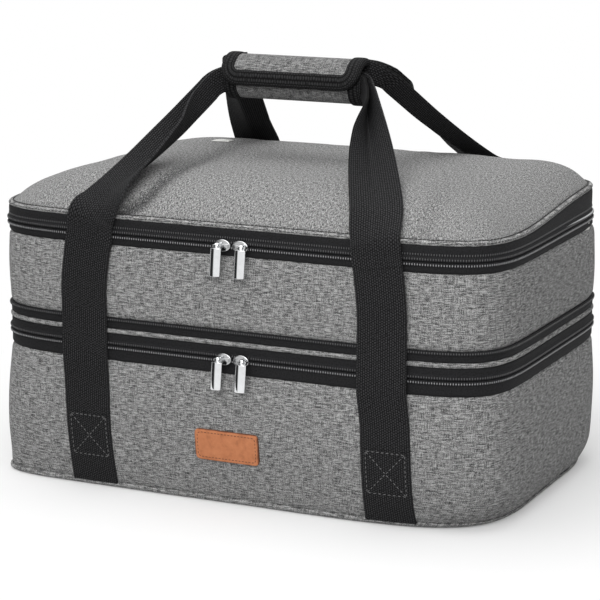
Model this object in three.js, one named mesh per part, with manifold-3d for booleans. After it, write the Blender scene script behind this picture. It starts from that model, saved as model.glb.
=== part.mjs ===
// Two-deck insulated casserole carrier: a lower compartment, an upper compartment that hinges back on
// it, a zipped crowned lid, and a front and a back webbing loop that meet in one wrapped grip.
// Millimetres, +Z up, front towards -Y, origin at the middle of the base's underside.
import * as THREE from 'three';
import { mergeVertices } from 'three/addons/utils/BufferGeometryUtils.js';
import Module from 'manifold-3d';

const wasm = await Module();
wasm.setup();

// Plan of the body: a superellipse, drawn in and with rounder corners towards the base
const bodyLength = 410;
const bodyDepth = 265;
const cornerPower = 6.9;
const baseCornerPower = 4.6;
const baseDrawIn = 11.5;
const drawInHeight = 80;

// Heights of the bands of the wall, from the floor up
const lowerWallTop = 102.5;
const lowerZipHeight = 20.6;
const lowerZipBottomTape = 11.5;
const seamStripHeight = 3.6;
const expansionBandHeight = 7.8;
const upperWallHeight = 55.4;
const lidZipHeight = 19.2;
const lidZipBottomTape = 7.9;
const lidCrown = 31;
const lidCrownPower = 7;

// Layers
const clearance = 0.3;
const shellThickness = 1.5;
const foamThickness = 5;
const liningThickness = 0.8;
const basePanelThickness = 1.5;
const baseBoardThickness = 3;
const deckPanelThickness = 1;
const deckBoardThickness = 2.5;
const lidFoamThickness = 6;

// Zips
const toothHeight = 3;
const toothRise = 1.4;
const hingeHalfLength = 150;
const sliderLength = 13.4;
const sliderHeight = 10;
const sliderThickness = 3;
const pullWidth = 8.6;
const pullLength = 22;
const pullThickness = 1.6;
const pullShoulder = 2.6;
const eyeWidth = 3.4;
const eyeOuterRadius = 2.6;
const eyeInnerRadius = 1.5;
const bailThickness = 1.3;
const bailSeat = 0.2;
const bailShift = 2.7;
const eyeGap = 0.4;
const slidersMeetX = 7;

// Trim
const pipingRadius = 2.2;
const weltRadius = 1.5;
const patchWidth = 52;
const patchHeight = 24;
const patchThickness = 1.6;
const patchCorner = 4;
const patchCentreHeight = 47;
const tabWidth = 16;
const tabDepth = 10;
const tabThickness = 0.8;
const tabX = -98;
const tabFromBack = 77;

// Webbing
const strapWidth = 38;
const strapThickness = 2;
const strapSpacing = 240;
const strapShift = 3.5;
const sewnTop = 60;
const foldedWidth = 19;
const foldedThickness = 3.6;
const runEnd = 2;
const legSpread = 14;
const legLead = 7;
const legSteps = 20;
const shoulderReaches = [0.97, 0.91, 0.84];
const shoulderLeans = [2, 6, 12];
const shoulderStands = [5, 4, 3];
const foldFrom = 0.5;
const foldTo = 0.9;

// Grip: a padded strip rolled round both webbing runs, its outer end a flap
const handGap = 45;
const gripLength = 113;
const gripShift = -5;
const padThickness = 3.5;
const rollHeightFactor = 1.1;
const bindingWidth = 11;
const bindingThickness = 0.8;
const closureThickness = 0.6;
const closureLength = 80;

// Turns of the roll, in degrees from the back, going up over the top and down the front
const rollStart = 150;
const flapTurn = 420;
const rollEnd = 553;
const flapBandTurn = 38;
const closureMarginTurn = 5;
const tightestTurn = 240;
const stepTurn = 18;

// Levels and reaches that follow from the sizes above
const halfLength = bodyLength / 2;
const halfDepth = bodyDepth / 2;
const liningInset = shellThickness + foamThickness + 2 * clearance;
const pipingTop = 2 * pipingRadius + clearance;
const baseBoardTop = basePanelThickness + clearance + baseBoardThickness;
const lowerZipMiddle = lowerWallTop + lowerZipBottomTape;
const lowerZipTop = lowerWallTop + lowerZipHeight;
const seamStripTop = lowerZipTop + seamStripHeight;
const expansionBandTop = seamStripTop + expansionBandHeight;
const upperWallTop = expansionBandTop + upperWallHeight;
const lidZipMiddle = upperWallTop + lidZipBottomTape;
const lidSeam = upperWallTop + lidZipHeight;
const weltStand = weltRadius + clearance;
const weltTop = lidSeam + 2 * weltStand;
const lidInset = weltStand + Math.sqrt(weltStand ** 2 - weltRadius ** 2);
const lidTop = lidSeam + lidCrown;
const frontFace = -halfDepth - toothRise - clearance;
const runOffset = foldedThickness / 2 + 2 * clearance;

// The roll grows by the pad and the closure on each turn, and clears both runs where it is tightest
const rollGrowth = padThickness + 2 * closureThickness + 3 * clearance;
const runsRadius = Math.hypot(runOffset + foldedThickness / 2, foldedWidth / 2 / rollHeightFactor);
const rollCore = runsRadius + clearance - (rollGrowth * (tightestTurn - rollStart)) / 360;
const bottomTurn = 270;
const gripHeight = lidTop + handGap + rollHeightFactor * rollOuter(bottomTurn);

// Materials
const greyFabric = { color: 0x868684, roughness: 0.95, metalness: 0 };
const blackWebbing = { color: 0x262628, roughness: 0.85, metalness: 0 };
const zipTape = { color: 0x1f1f21, roughness: 0.8, metalness: 0 };
const chrome = { color: 0xd4d6d8, roughness: 0.12, metalness: 1 };
const foil = { color: 0xb9bdc0, roughness: 0.35, metalness: 0.4 };
const foam = { color: 0xe8e8e4, roughness: 0.9, metalness: 0 };
const board = { color: 0x3a3a3c, roughness: 0.6, metalness: 0 };
const leather = { color: 0xb8784e, roughness: 0.6, metalness: 0 };
const whiteTape = { color: 0xe6e6e2, roughness: 0.8, metalness: 0 };
const hookAndLoop = { color: 0x19191b, roughness: 1, metalness: 0 };

const carrier = new THREE.Group();

function addPiece(name, geometry, look) {
  const mesh = new THREE.Mesh(geometry, new THREE.MeshStandardMaterial(look));
  mesh.name = name;
  carrier.add(mesh);
  return mesh;
}

// Closed meshes made of rings of points

function signedVolume(points, triangles) {
  let total = 0;
  for (const [i, j, k] of triangles) {
    total += points[i].dot(points[j].clone().cross(points[k])) / 6;
  }
  return total;
}

function closedGeometry(points, triangles) {
  const outward = signedVolume(points, triangles) > 0;
  const index = triangles.flatMap(([i, j, k]) => (outward ? [i, j, k] : [i, k, j]));
  const geometry = new THREE.BufferGeometry().setFromPoints(points);
  geometry.setIndex(index);
  geometry.computeVertexNormals();
  return geometry;
}

// Each ring is a closed loop; the rings are joined in order, then round to the first, or capped
function skinRings(rings, joinsUp) {
  const count = rings[0].length;
  const points = rings.flat();
  const triangles = [];
  const steps = joinsUp ? rings.length : rings.length - 1;
  for (let r = 0; r < steps; r += 1) {
    const here = r * count;
    const next = ((r + 1) % rings.length) * count;
    for (let i = 0; i < count; i += 1) {
      const j = (i + 1) % count;
      triangles.push([here + i, here + j, next + j], [here + i, next + j, next + i]);
    }
  }
  if (!joinsUp) {
    const last = (rings.length - 1) * count;
    const firstMiddle = points.push(middleOf(rings[0])) - 1;
    const lastMiddle = points.push(middleOf(rings.at(-1))) - 1;
    for (let i = 0; i < count; i += 1) {
      const j = (i + 1) % count;
      triangles.push([j, i, firstMiddle], [last + i, last + j, lastMiddle]);
    }
  }
  return closedGeometry(points, triangles);
}

function middleOf(ring) {
  const sum = ring.reduce((total, point) => total.add(point), new THREE.Vector3());
  return sum.divideScalar(ring.length);
}

// Plan outline

const ringSteps = 32;
const allSteps = Array.from({ length: ringSteps }, (_, i) => i);

function signedPower(value, power) {
  return Math.sign(value) * Math.abs(value) ** power;
}

// How much of the draw-in at the base is left at a height
function drawInShare(z) {
  return Math.max(0, 1 - z / drawInHeight) ** 2;
}

// The outline is a polygon of ringSteps corners; a step between two of them lies on their chord
function planPoint(step, reachX, reachY, z) {
  const power = cornerPower - (cornerPower - baseCornerPower) * drawInShare(z);
  const corner = (index) => {
    const angle = (index / ringSteps) * 2 * Math.PI;
    const x = reachX * signedPower(Math.cos(angle), 2 / power);
    const y = reachY * signedPower(Math.sin(angle), 2 / power);
    return new THREE.Vector3(x, y, z);
  };
  return corner(Math.floor(step)).lerp(corner(Math.ceil(step)), step - Math.floor(step));
}

function planRing(inset, z, scale = 1, edgeInset = 0) {
  const reachX = (halfLength - edgeInset) * scale - inset;
  const reachY = (halfDepth - edgeInset) * scale - inset;
  return allSteps.map((step) => planPoint(step, reachX, reachY, z));
}

// The step at which the back edge reaches a given distance from the middle, towards +X
function backStep(distance) {
  const cornerX = (step) => planPoint(step, halfLength, halfDepth, drawInHeight).x;
  let step = ringSteps / 4;
  while (cornerX(step - 1) < distance) {
    step -= 1;
  }
  return step - (distance - cornerX(step)) / (cornerX(step - 1) - cornerX(step));
}

// A section of [inset, height] pairs carried right round the plan
function bandRound(section) {
  return skinRings(allSteps.map((step) => sectionAt(section, step)), true);
}

// The same section carried from one step to another
function bandBetween(section, from, to) {
  const first = Math.ceil(from);
  const between = Array.from({ length: Math.ceil(to) - first }, (_, i) => first + i);
  return skinRings([from, ...between, to].map((step) => sectionAt(section, step)), false);
}

function sectionAt(section, step) {
  return section.map(([inset, z]) => planPoint(step, halfLength - inset, halfDepth - inset, z));
}

// A stack of plan rings from [inset, height] pairs, closed at both ends: a plate or a tub
function stackRound(section) {
  return skinRings(section.map(([inset, z]) => planRing(inset, z)), false);
}

function wallInset(z) {
  return baseDrawIn * drawInShare(z);
}

function roundSection(inset, z, radius, sides) {
  return Array.from({ length: sides }, (_, i) => {
    const angle = (i / sides) * 2 * Math.PI;
    return [inset + radius * Math.cos(angle), z + radius * Math.sin(angle)];
  });
}

// Extrusion of a flat shape whose own x and y lie along two given directions
function extrudeAlong(shape, depth, shapeX, shapeY, curveSegments = 6) {
  const geometry = new THREE.ExtrudeGeometry(shape, { depth, bevelEnabled: false, curveSegments });
  const along = shapeX.clone().cross(shapeY);
  return geometry.applyMatrix4(new THREE.Matrix4().makeBasis(shapeX, shapeY, along));
}

const axisX = new THREE.Vector3(1, 0, 0);
const axisY = new THREE.Vector3(0, 1, 0);
const axisZ = new THREE.Vector3(0, 0, 1);

// Lower compartment

const lowerBottom = pipingTop + clearance;
const wallHeights = [0.22, 0.44, 0.69, 1].map((share) => share * drawInHeight);
const lowerHeights = [lowerBottom, ...wallHeights, lowerWallTop - clearance];

function wallSection(outerInset, innerInset, heights) {
  const outside = heights.map((z) => [wallInset(z) + outerInset, z]);
  const inside = heights.map((z) => [wallInset(z) + innerInset, z]);
  return [...outside, ...inside.reverse()];
}

// A tub: outside from the bottom up, then inside from the top down to its floor
function tubSection(outerInset, innerInset, bottom, floor, top, between) {
  const outside = [bottom, ...between, top].map((z) => [wallInset(z) + outerInset, z]);
  const inside = [floor, ...between, top].map((z) => [wallInset(z) + innerInset, z]);
  return [...outside, ...inside.reverse()];
}

const pipingInset = wallInset(lowerBottom) + shellThickness / 2;
const baseInset = pipingInset + pipingRadius + clearance;
addPiece('base_panel', stackRound([
  [baseInset, 0],
  [baseInset, basePanelThickness],
]), greyFabric);
addPiece('base_board', stackRound([
  [baseInset, basePanelThickness + clearance],
  [baseInset, baseBoardTop],
]), board);
addPiece('base_piping', bandRound(
  roundSection(pipingInset, pipingRadius + clearance, pipingRadius, 6),
), greyFabric);
addPiece('lower_wall', bandRound(wallSection(0, shellThickness, lowerHeights)), greyFabric);

const lowerTubTop = lowerZipMiddle - 2 * clearance;
const lowerFoamBottom = Math.max(baseBoardTop, lowerBottom) + clearance;
const lowerFoamFloor = lowerFoamBottom + foamThickness;
addPiece('lower_foam', stackRound(tubSection(
  shellThickness + clearance,
  shellThickness + clearance + foamThickness,
  lowerFoamBottom,
  lowerFoamFloor,
  lowerTubTop,
  wallHeights,
)), foam);
addPiece('lower_lining', stackRound(tubSection(
  liningInset,
  liningInset + liningThickness,
  lowerFoamFloor + clearance,
  lowerFoamFloor + clearance + liningThickness,
  lowerTubTop,
  wallHeights,
)), foil);

// Zip tapes run round the front and the sides; cloth strips take their place at the back

const stripFrom = backStep(hingeHalfLength);
const stripTo = ringSteps / 2 - stripFrom;
const tapeFrom = ringSteps / 2 - backStep(hingeHalfLength + clearance);
const tapeTo = ringSteps + backStep(hingeHalfLength + clearance);

// A tape between two heights, with its tooth row along the edge at the zip's middle
function tapeSection(bottom, top, teethAtTop) {
  const toothEdge = teethAtTop ? top - toothHeight : bottom + toothHeight;
  return teethAtTop
    ? [[0, bottom], [0, toothEdge], [-toothRise, toothEdge], [-toothRise, top], [shellThickness, top],
      [shellThickness, bottom]]
    : [[-toothRise, bottom], [-toothRise, toothEdge], [0, toothEdge], [0, top], [shellThickness, top],
      [shellThickness, bottom]];
}

function stripSection(bottom, top) {
  return [[0, bottom], [0, top], [shellThickness, top], [shellThickness, bottom]];
}

function addZipHalf(name, hingeName, bottom, top, teethAtTop) {
  addPiece(name, bandBetween(tapeSection(bottom, top, teethAtTop), tapeFrom, tapeTo), zipTape);
  addPiece(hingeName, bandBetween(stripSection(bottom, top), stripFrom, stripTo), greyFabric);
}

const halfGap = clearance / 2;
const lowerMeeting = [lowerZipMiddle - halfGap, lowerZipMiddle + halfGap];
const lidMeeting = [lidZipMiddle - halfGap, lidZipMiddle + halfGap];
addZipHalf('lower_zip_bottom_tape', 'lower_hinge_bottom_strip', lowerWallTop, lowerMeeting[0], true);
addZipHalf('lower_zip_top_tape', 'lower_hinge_top_strip', lowerMeeting[1], lowerZipTop - clearance, false);
addZipHalf('lid_zip_bottom_tape', 'lid_hinge_bottom_strip', upperWallTop, lidMeeting[0], true);
addZipHalf('lid_zip_top_tape', 'lid_hinge_top_strip', lidMeeting[1], lidSeam, false);

// Upper compartment

const deckPanelBottom = lowerMeeting[1];
const deckBoardBottom = deckPanelBottom + deckPanelThickness + clearance;
const upperFoamBottom = deckBoardBottom + deckBoardThickness + clearance;
const upperFoamFloor = upperFoamBottom + foamThickness;
const upperTubTop = lidZipMiddle - 2 * clearance;
const deckInset = shellThickness + clearance;
addPiece('deck_panel', stackRound([
  [deckInset, deckPanelBottom],
  [deckInset, deckPanelBottom + deckPanelThickness],
]), foil);
addPiece('deck_board', stackRound([
  [deckInset, deckBoardBottom],
  [deckInset, deckBoardBottom + deckBoardThickness],
]), board);
addPiece('upper_foam', stackRound([
  [deckInset, upperFoamBottom],
  [deckInset, upperTubTop],
  [deckInset + foamThickness, upperTubTop],
  [deckInset + foamThickness, upperFoamFloor],
]), foam);
addPiece('upper_lining', stackRound([
  [liningInset, upperFoamFloor + clearance],
  [liningInset, upperTubTop],
  [liningInset + liningThickness, upperTubTop],
  [liningInset + liningThickness, upperFoamFloor + clearance + liningThickness],
]), foil);
addPiece('seam_strip', bandRound(stripSection(lowerZipTop, seamStripTop - clearance)), greyFabric);
addPiece('expansion_zip_tape', bandRound(
  tapeSection(seamStripTop, expansionBandTop - clearance, true),
), zipTape);
addPiece('upper_wall', bandRound(stripSection(expansionBandTop, upperWallTop - clearance)), greyFabric);

// Lid: nested crowned layers, each a stack of scaled outlines that falls away towards its edge

const lidScales = [0.25, 0.55, 0.74, 0.85, 0.92, 0.97, 1];

function lidHeight(scale) {
  return lidSeam + clearance + lidCrown * (1 - scale ** lidCrownPower);
}

function lidLayer(depthBelow, thickness) {
  const ring = (depth) => (scale) => planRing(depth, lidHeight(scale) - depth, scale, lidInset);
  const outside = lidScales.map(ring(depthBelow));
  const inside = lidScales.map(ring(depthBelow + thickness));
  return skinRings([...outside, ...inside.reverse()], false);
}

const lidFoamDepth = shellThickness + clearance;
const lidLiningDepth = lidFoamDepth + lidFoamThickness + clearance;
addPiece('lid_panel', lidLayer(0, shellThickness), greyFabric);
addPiece('lid_foam', lidLayer(lidFoamDepth, lidFoamThickness), foam);
addPiece('lid_lining', lidLayer(lidLiningDepth, liningThickness), foil);
addPiece('lid_welt', bandRound(
  roundSection(weltStand, lidSeam + weltStand, weltRadius, 6),
), greyFabric);

// Height of the crowned lid over any place inside its edge
function lidHeightAt(x, y) {
  const across = Math.abs(x / (halfLength - lidInset)) ** cornerPower;
  const along = Math.abs(y / (halfDepth - lidInset)) ** cornerPower;
  return lidHeight(Math.min(1, (across + along) ** (1 / cornerPower)));
}

// The tab lies on the lid's slope: the crown is convex, so the plane that touches it there clears it
const tabY = halfDepth - tabFromBack;
const fallX = lidHeightAt(tabX - tabWidth / 2, tabY) - lidHeightAt(tabX + tabWidth / 2, tabY);
const fallY = lidHeightAt(tabX, tabY - tabDepth / 2) - lidHeightAt(tabX, tabY + tabDepth / 2);
const tabNormal = new THREE.Vector3(fallX / tabWidth, fallY / tabDepth, 1).normalize();
const tab = addPiece('lid_tab', new THREE.BoxGeometry(tabWidth, tabDepth, tabThickness), whiteTape);
tab.quaternion.setFromUnitVectors(axisZ, tabNormal);
tab.position.set(tabX, tabY, lidHeightAt(tabX, tabY));
tab.position.addScaledVector(tabNormal, tabThickness / 2 + clearance);

// Leather patch on the lower front, leaning with the wall, which is convex too

function wallLean(bottom, top) {
  return Math.atan2(wallInset(bottom) - wallInset(top), top - bottom);
}

function roundedRectangle(width, height, corner) {
  const x = width / 2;
  const y = height / 2;
  const shape = new THREE.Shape();
  shape.moveTo(-x + corner, -y);
  shape.lineTo(x - corner, -y);
  shape.absarc(x - corner, -y + corner, corner, -Math.PI / 2, 0);
  shape.lineTo(x, y - corner);
  shape.absarc(x - corner, y - corner, corner, 0, Math.PI / 2);
  shape.lineTo(-x + corner, y);
  shape.absarc(-x + corner, y - corner, corner, Math.PI / 2, Math.PI);
  shape.lineTo(-x, -y + corner);
  shape.absarc(-x + corner, -y + corner, corner, Math.PI, 1.5 * Math.PI);
  return shape;
}

const patchShape = roundedRectangle(patchWidth, patchHeight, patchCorner);
const patch = addPiece('leather_patch', extrudeAlong(patchShape, patchThickness, axisX, axisZ, 4), leather);
const patchTop = patchCentreHeight + patchHeight / 2;
const patchBottom = patchCentreHeight - patchHeight / 2;
patch.rotation.x = wallLean(patchBottom, patchTop);
patch.position.set(0, -halfDepth + wallInset(patchCentreHeight) - clearance, patchCentreHeight);

// Zip sliders with a bail, and pulls that swing on the bail

function manifoldOf(geometry) {
  const bare = geometry.clone();
  bare.deleteAttribute('normal');
  bare.deleteAttribute('uv');
  const merged = mergeVertices(bare);
  const vertProperties = Float32Array.from(merged.attributes.position.array);
  const triVerts = Uint32Array.from(merged.index.array);
  return new wasm.Manifold(new wasm.Mesh({ numProp: 3, vertProperties, triVerts }));
}

function geometryOf(manifold) {
  const { vertProperties, triVerts } = manifold.getMesh();
  const geometry = new THREE.BufferGeometry();
  geometry.setAttribute('position', new THREE.BufferAttribute(vertProperties, 3));
  geometry.setIndex(new THREE.BufferAttribute(triVerts, 1));
  geometry.computeVertexNormals();
  return geometry;
}

const bailReach = eyeOuterRadius + eyeGap;
const bailWidth = eyeWidth + 2 * eyeGap + 2 * bailThickness;

// A staple that stands on the slider's face, seen from above
function bailShape() {
  const x = bailWidth / 2;
  const shape = new THREE.Shape();
  shape.moveTo(-x, -bailSeat);
  shape.lineTo(-x + bailThickness, -bailSeat);
  shape.lineTo(-x + bailThickness, bailReach - bailThickness / 2);
  shape.lineTo(x - bailThickness, bailReach - bailThickness / 2);
  shape.lineTo(x - bailThickness, -bailSeat);
  shape.lineTo(x, -bailSeat);
  shape.lineTo(x, bailReach + bailThickness / 2);
  shape.lineTo(-x, bailReach + bailThickness / 2);
  return shape;
}

const outward = axisY.clone().negate();

// The slider's oval face, with the bail towards its outer end
function sliderGeometry(side) {
  const oval = new THREE.Shape();
  oval.absellipse(0, 0, sliderLength / 2, sliderHeight / 2, 0, 2 * Math.PI);
  const face = extrudeAlong(oval, sliderThickness, axisX, axisZ, 16);
  const bail = extrudeAlong(bailShape(), bailThickness, axisX, outward, 1);
  bail.translate(side * bailShift, -sliderThickness, bailThickness / 2);
  return geometryOf(manifoldOf(face).add(manifoldOf(bail)));
}

// The pull seen from its side: a round eye with a neck from its outer half, then a wider flat bar
function pullGeometry() {
  const nearSide = eyeOuterRadius - pullThickness;
  const eye = new THREE.Shape();
  const lean = Math.asin(nearSide / eyeOuterRadius);
  eye.absarc(0, 0, eyeOuterRadius, 0, Math.PI + Math.PI / 2 + lean, false);
  eye.lineTo(nearSide, -pullShoulder - pullThickness);
  eye.lineTo(eyeOuterRadius, -pullShoulder - pullThickness);
  eye.closePath();
  const bore = new THREE.Path();
  bore.absarc(0, 0, eyeInnerRadius, 0, 2 * Math.PI, true);
  eye.holes.push(bore);
  const bar = new THREE.Shape([
    new THREE.Vector2(nearSide, -pullShoulder),
    new THREE.Vector2(nearSide, -pullLength),
    new THREE.Vector2(eyeOuterRadius, -pullLength),
    new THREE.Vector2(eyeOuterRadius, -pullShoulder),
  ]);
  const eyePart = extrudeAlong(eye, eyeWidth, outward, axisZ, 10).translate(eyeWidth / 2, 0, 0);
  const barPart = extrudeAlong(bar, pullWidth, outward, axisZ, 1).translate(pullWidth / 2, 0, 0);
  return geometryOf(manifoldOf(eyePart).add(manifoldOf(barPart)));
}

function addSlider(zipName, sideName, side, height) {
  const x = slidersMeetX + side * (sliderLength / 2 + clearance);
  const slider = addPiece(`${zipName}_slider_${sideName}`, sliderGeometry(side), chrome);
  slider.position.set(x, frontFace, height);
  const pull = addPiece(`${zipName}_pull_${sideName}`, pullGeometry(), chrome);
  pull.position.set(x + side * bailShift, frontFace - sliderThickness - bailReach, height);
}

for (const [zipName, height] of [['lower_zip', lowerZipMiddle], ['lid_zip', lidZipMiddle]]) {
  addSlider(zipName, 'left', -1, height);
  addSlider(zipName, 'right', 1, height);
}

// Webbing: ribbons through stations, each with a centre, a direction to run in, and a direction across

function ribbon(stations) {
  const rings = stations.map(({ centre, forward, across, width, thickness }) => {
    const side = across.clone().addScaledVector(forward, -across.dot(forward)).normalize();
    const normal = forward.clone().cross(side).multiplyScalar(thickness / 2);
    side.multiplyScalar(width / 2);
    return [
      centre.clone().add(side).add(normal),
      centre.clone().sub(side).add(normal),
      centre.clone().sub(side).sub(normal),
      centre.clone().add(side).sub(normal),
    ];
  });
  return skinRings(rings, false);
}

// Flat webbing that lies along X and runs through points one above another
function uprightRibbon(points) {
  return ribbon(points.map((centre) => ({
    centre: new THREE.Vector3(...centre),
    forward: axisZ,
    across: axisX,
    width: strapWidth,
    thickness: strapThickness,
  })));
}

const strapStand = clearance + strapThickness / 2;
const strapY = halfDepth + toothRise + strapStand;

function strapOnWall(x, side, z) {
  return [x, side * (halfDepth - wallInset(z) + strapStand), z];
}

function strapOverZips(x, side, z) {
  return [x, side * strapY, z];
}

function strapX(sideX) {
  return strapShift + (sideX * strapSpacing) / 2;
}

// Up the wall from the base seam, as far as the boxed stitches reach
function sewnPoints(x, side) {
  const heights = [lowerBottom, ...wallHeights.filter((z) => z < sewnTop), sewnTop];
  return heights.map((z) => strapOnWall(x, side, z));
}

// From the lid's edge, leaning in over its shoulder and up to the end of the grip, folding in half on the way
function legStations(sideX, sideY) {
  const x = strapX(sideX);
  const shoulder = (reach, i) => {
    const leaning = x - sideX * shoulderLeans[i];
    const y = sideY * reach * (halfDepth - lidInset);
    const point = new THREE.Vector3(leaning, y, lidHeightAt(leaning, y));
    const fall = lidHeightAt(leaning, y - sideY * strapThickness) - point.z;
    const normal = new THREE.Vector3(0, (sideY * fall) / strapThickness, 1).normalize();
    return point.addScaledVector(normal, shoulderStands[i]);
  };
  const endX = gripShift + sideX * (gripLength / 2 + runEnd + clearance);
  const route = new THREE.CatmullRomCurve3([
    new THREE.Vector3(...strapOverZips(x, sideY, lidZipMiddle + halfGap)),
    new THREE.Vector3(...strapOverZips(x, sideY, weltTop)),
    ...shoulderReaches.map(shoulder),
    new THREE.Vector3(endX + sideX * legSpread, sideY * (runOffset + legSpread), gripHeight - legSpread / 2),
    new THREE.Vector3(endX + sideX * legLead, sideY * runOffset, gripHeight),
    new THREE.Vector3(endX, sideY * runOffset, gripHeight),
  ], false, 'centripetal');
  return Array.from({ length: legSteps + 1 }, (_, i) => {
    const along = i / legSteps;
    const turn = THREE.MathUtils.smoothstep(along, foldFrom, foldTo);
    return {
      centre: route.getPointAt(along),
      forward: route.getTangentAt(along),
      across: new THREE.Vector3(sideX, 0, 0).lerp(axisZ, turn),
      width: THREE.MathUtils.lerp(strapWidth, foldedWidth, turn),
      thickness: THREE.MathUtils.lerp(strapThickness, foldedThickness, turn),
    };
  });
}

for (const [sideName, sideX] of [['left', -1], ['right', 1]]) {
  const x = strapX(sideX);
  addPiece(`front_strap_${sideName}_sewn_end`, uprightRibbon(sewnPoints(x, -1)), blackWebbing);
  addPiece(`front_strap_${sideName}_riser`, uprightRibbon([
    strapOnWall(x, -1, sewnTop + clearance),
    strapOverZips(x, -1, lowerWallTop - toothHeight),
    strapOverZips(x, -1, lidZipMiddle - halfGap),
  ]), blackWebbing);
  addPiece(`front_strap_${sideName}_leg`, ribbon(legStations(sideX, -1)), blackWebbing);
  addPiece(`back_strap_${sideName}_sewn_end`, uprightRibbon([
    ...sewnPoints(x, 1),
    strapOnWall(x, 1, drawInHeight),
    strapOverZips(x, 1, lowerZipMiddle - halfGap),
  ]), blackWebbing);
  addPiece(`back_strap_${sideName}_riser`, uprightRibbon([
    strapOverZips(x, 1, lowerZipMiddle + halfGap),
    strapOverZips(x, 1, lidZipMiddle - halfGap),
  ]), blackWebbing);
  addPiece(`back_strap_${sideName}_leg`, ribbon(legStations(sideX, 1)), blackWebbing);
}

const runLength = gripLength + 2 * runEnd;
for (const [sideName, sideY] of [['front', -1], ['back', 1]]) {
  const run = addPiece(
    `${sideName}_strap_grip_run`,
    new THREE.BoxGeometry(runLength, foldedThickness, foldedWidth),
    blackWebbing,
  );
  run.position.set(gripShift, sideY * runOffset, gripHeight);
}

// Grip

function rollInner(turn) {
  return rollCore + (rollGrowth * (turn - rollStart)) / 360;
}

function rollOuter(turn) {
  return rollInner(turn) + padThickness;
}

function rollPoint(radius, turn) {
  const angle = THREE.MathUtils.degToRad(turn);
  return new THREE.Vector2(radius * Math.cos(angle), rollHeightFactor * radius * Math.sin(angle));
}

// A layer of the roll between two turns, lying between two depths counted from the pad's outside
function rollLayer(from, to, lowDepth, highDepth) {
  const steps = Math.max(2, Math.ceil((to - from) / stepTurn));
  const turns = Array.from({ length: steps + 1 }, (_, i) => from + ((to - from) * i) / steps);
  const outside = turns.map((turn) => rollPoint(rollOuter(turn) + highDepth, turn));
  const inside = turns.map((turn) => rollPoint(rollOuter(turn) + lowDepth, turn));
  return new THREE.Shape([...outside, ...inside.reverse()]);
}

function addRollPiece(name, shape, fromX, length, look) {
  const piece = addPiece(name, extrudeAlong(shape, length, axisY, axisZ), look);
  piece.position.set(gripShift + fromX, 0, gripHeight);
}

const gripEnd = gripLength / 2;
const flapFrom = flapTurn + THREE.MathUtils.radToDeg(clearance / rollInner(flapTurn));
const bindingTop = clearance + bindingThickness;
addRollPiece('grip_pad', rollLayer(rollStart, flapTurn, -padThickness, 0), -gripEnd, gripLength, greyFabric);
addRollPiece('grip_flap', rollLayer(flapFrom, rollEnd, -padThickness, 0), -gripEnd, gripLength, greyFabric);
for (const [sideName, fromX] of [['left', -gripEnd], ['right', gripEnd - bindingWidth]]) {
  const padBand = rollLayer(rollStart, flapTurn, clearance, bindingTop);
  addRollPiece(`grip_binding_${sideName}`, padBand, fromX, bindingWidth, blackWebbing);
  const flapBand = rollLayer(flapFrom, rollEnd, clearance, bindingTop);
  addRollPiece(`flap_binding_${sideName}`, flapBand, fromX, bindingWidth, blackWebbing);
}
const edgeReach = gripEnd - bindingWidth - clearance;
const edgeBand = rollLayer(rollEnd - flapBandTurn, rollEnd, clearance, bindingTop);
addRollPiece('flap_binding_edge', edgeBand, -edgeReach, 2 * edgeReach, blackWebbing);

// The closure lies where the flap overlaps the start of the roll
const closureFrom = rollStart + closureMarginTurn;
const closureTo = rollEnd - 360 - closureMarginTurn;
const loopBand = rollLayer(closureFrom, closureTo, clearance, clearance + closureThickness);
addRollPiece('grip_loop_strip', loopBand, -closureLength / 2, closureLength, hookAndLoop);
const hookHigh = -padThickness - clearance;
const hookBand = rollLayer(closureFrom + 360, closureTo + 360, hookHigh - closureThickness, hookHigh);
addRollPiece('flap_hook_strip', hookBand, -closureLength / 2, closureLength, hookAndLoop);

export default carrier;
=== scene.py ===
import math

import bpy
import numpy as np
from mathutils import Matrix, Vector


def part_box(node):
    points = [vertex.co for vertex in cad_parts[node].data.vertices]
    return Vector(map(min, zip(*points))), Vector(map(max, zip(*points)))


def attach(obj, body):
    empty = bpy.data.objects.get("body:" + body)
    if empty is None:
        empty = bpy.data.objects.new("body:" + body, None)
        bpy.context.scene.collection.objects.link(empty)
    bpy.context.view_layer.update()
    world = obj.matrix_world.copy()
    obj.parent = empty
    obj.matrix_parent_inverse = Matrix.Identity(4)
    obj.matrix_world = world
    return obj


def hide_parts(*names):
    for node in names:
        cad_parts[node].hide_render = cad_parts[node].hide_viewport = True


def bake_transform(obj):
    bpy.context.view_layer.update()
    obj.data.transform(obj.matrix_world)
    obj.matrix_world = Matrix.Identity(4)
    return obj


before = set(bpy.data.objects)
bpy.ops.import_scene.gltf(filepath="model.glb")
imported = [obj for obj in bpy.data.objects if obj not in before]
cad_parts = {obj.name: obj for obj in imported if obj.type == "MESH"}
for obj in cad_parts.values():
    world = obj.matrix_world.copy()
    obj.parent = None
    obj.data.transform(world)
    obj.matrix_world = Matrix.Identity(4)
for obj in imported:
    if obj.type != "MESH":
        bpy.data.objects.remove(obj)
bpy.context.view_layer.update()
mm = 0.001
print("frame loaded")


def low(node):
    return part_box(node)[0]


def high(node):
    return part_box(node)[1]


def middleOf(node):
    return (low(node) + high(node)) / 2


def halfOf(node):
    return (high(node) - low(node)) / 2


def between(lower, upper):
    return (high(lower).z + low(upper).z) / 2


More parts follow.
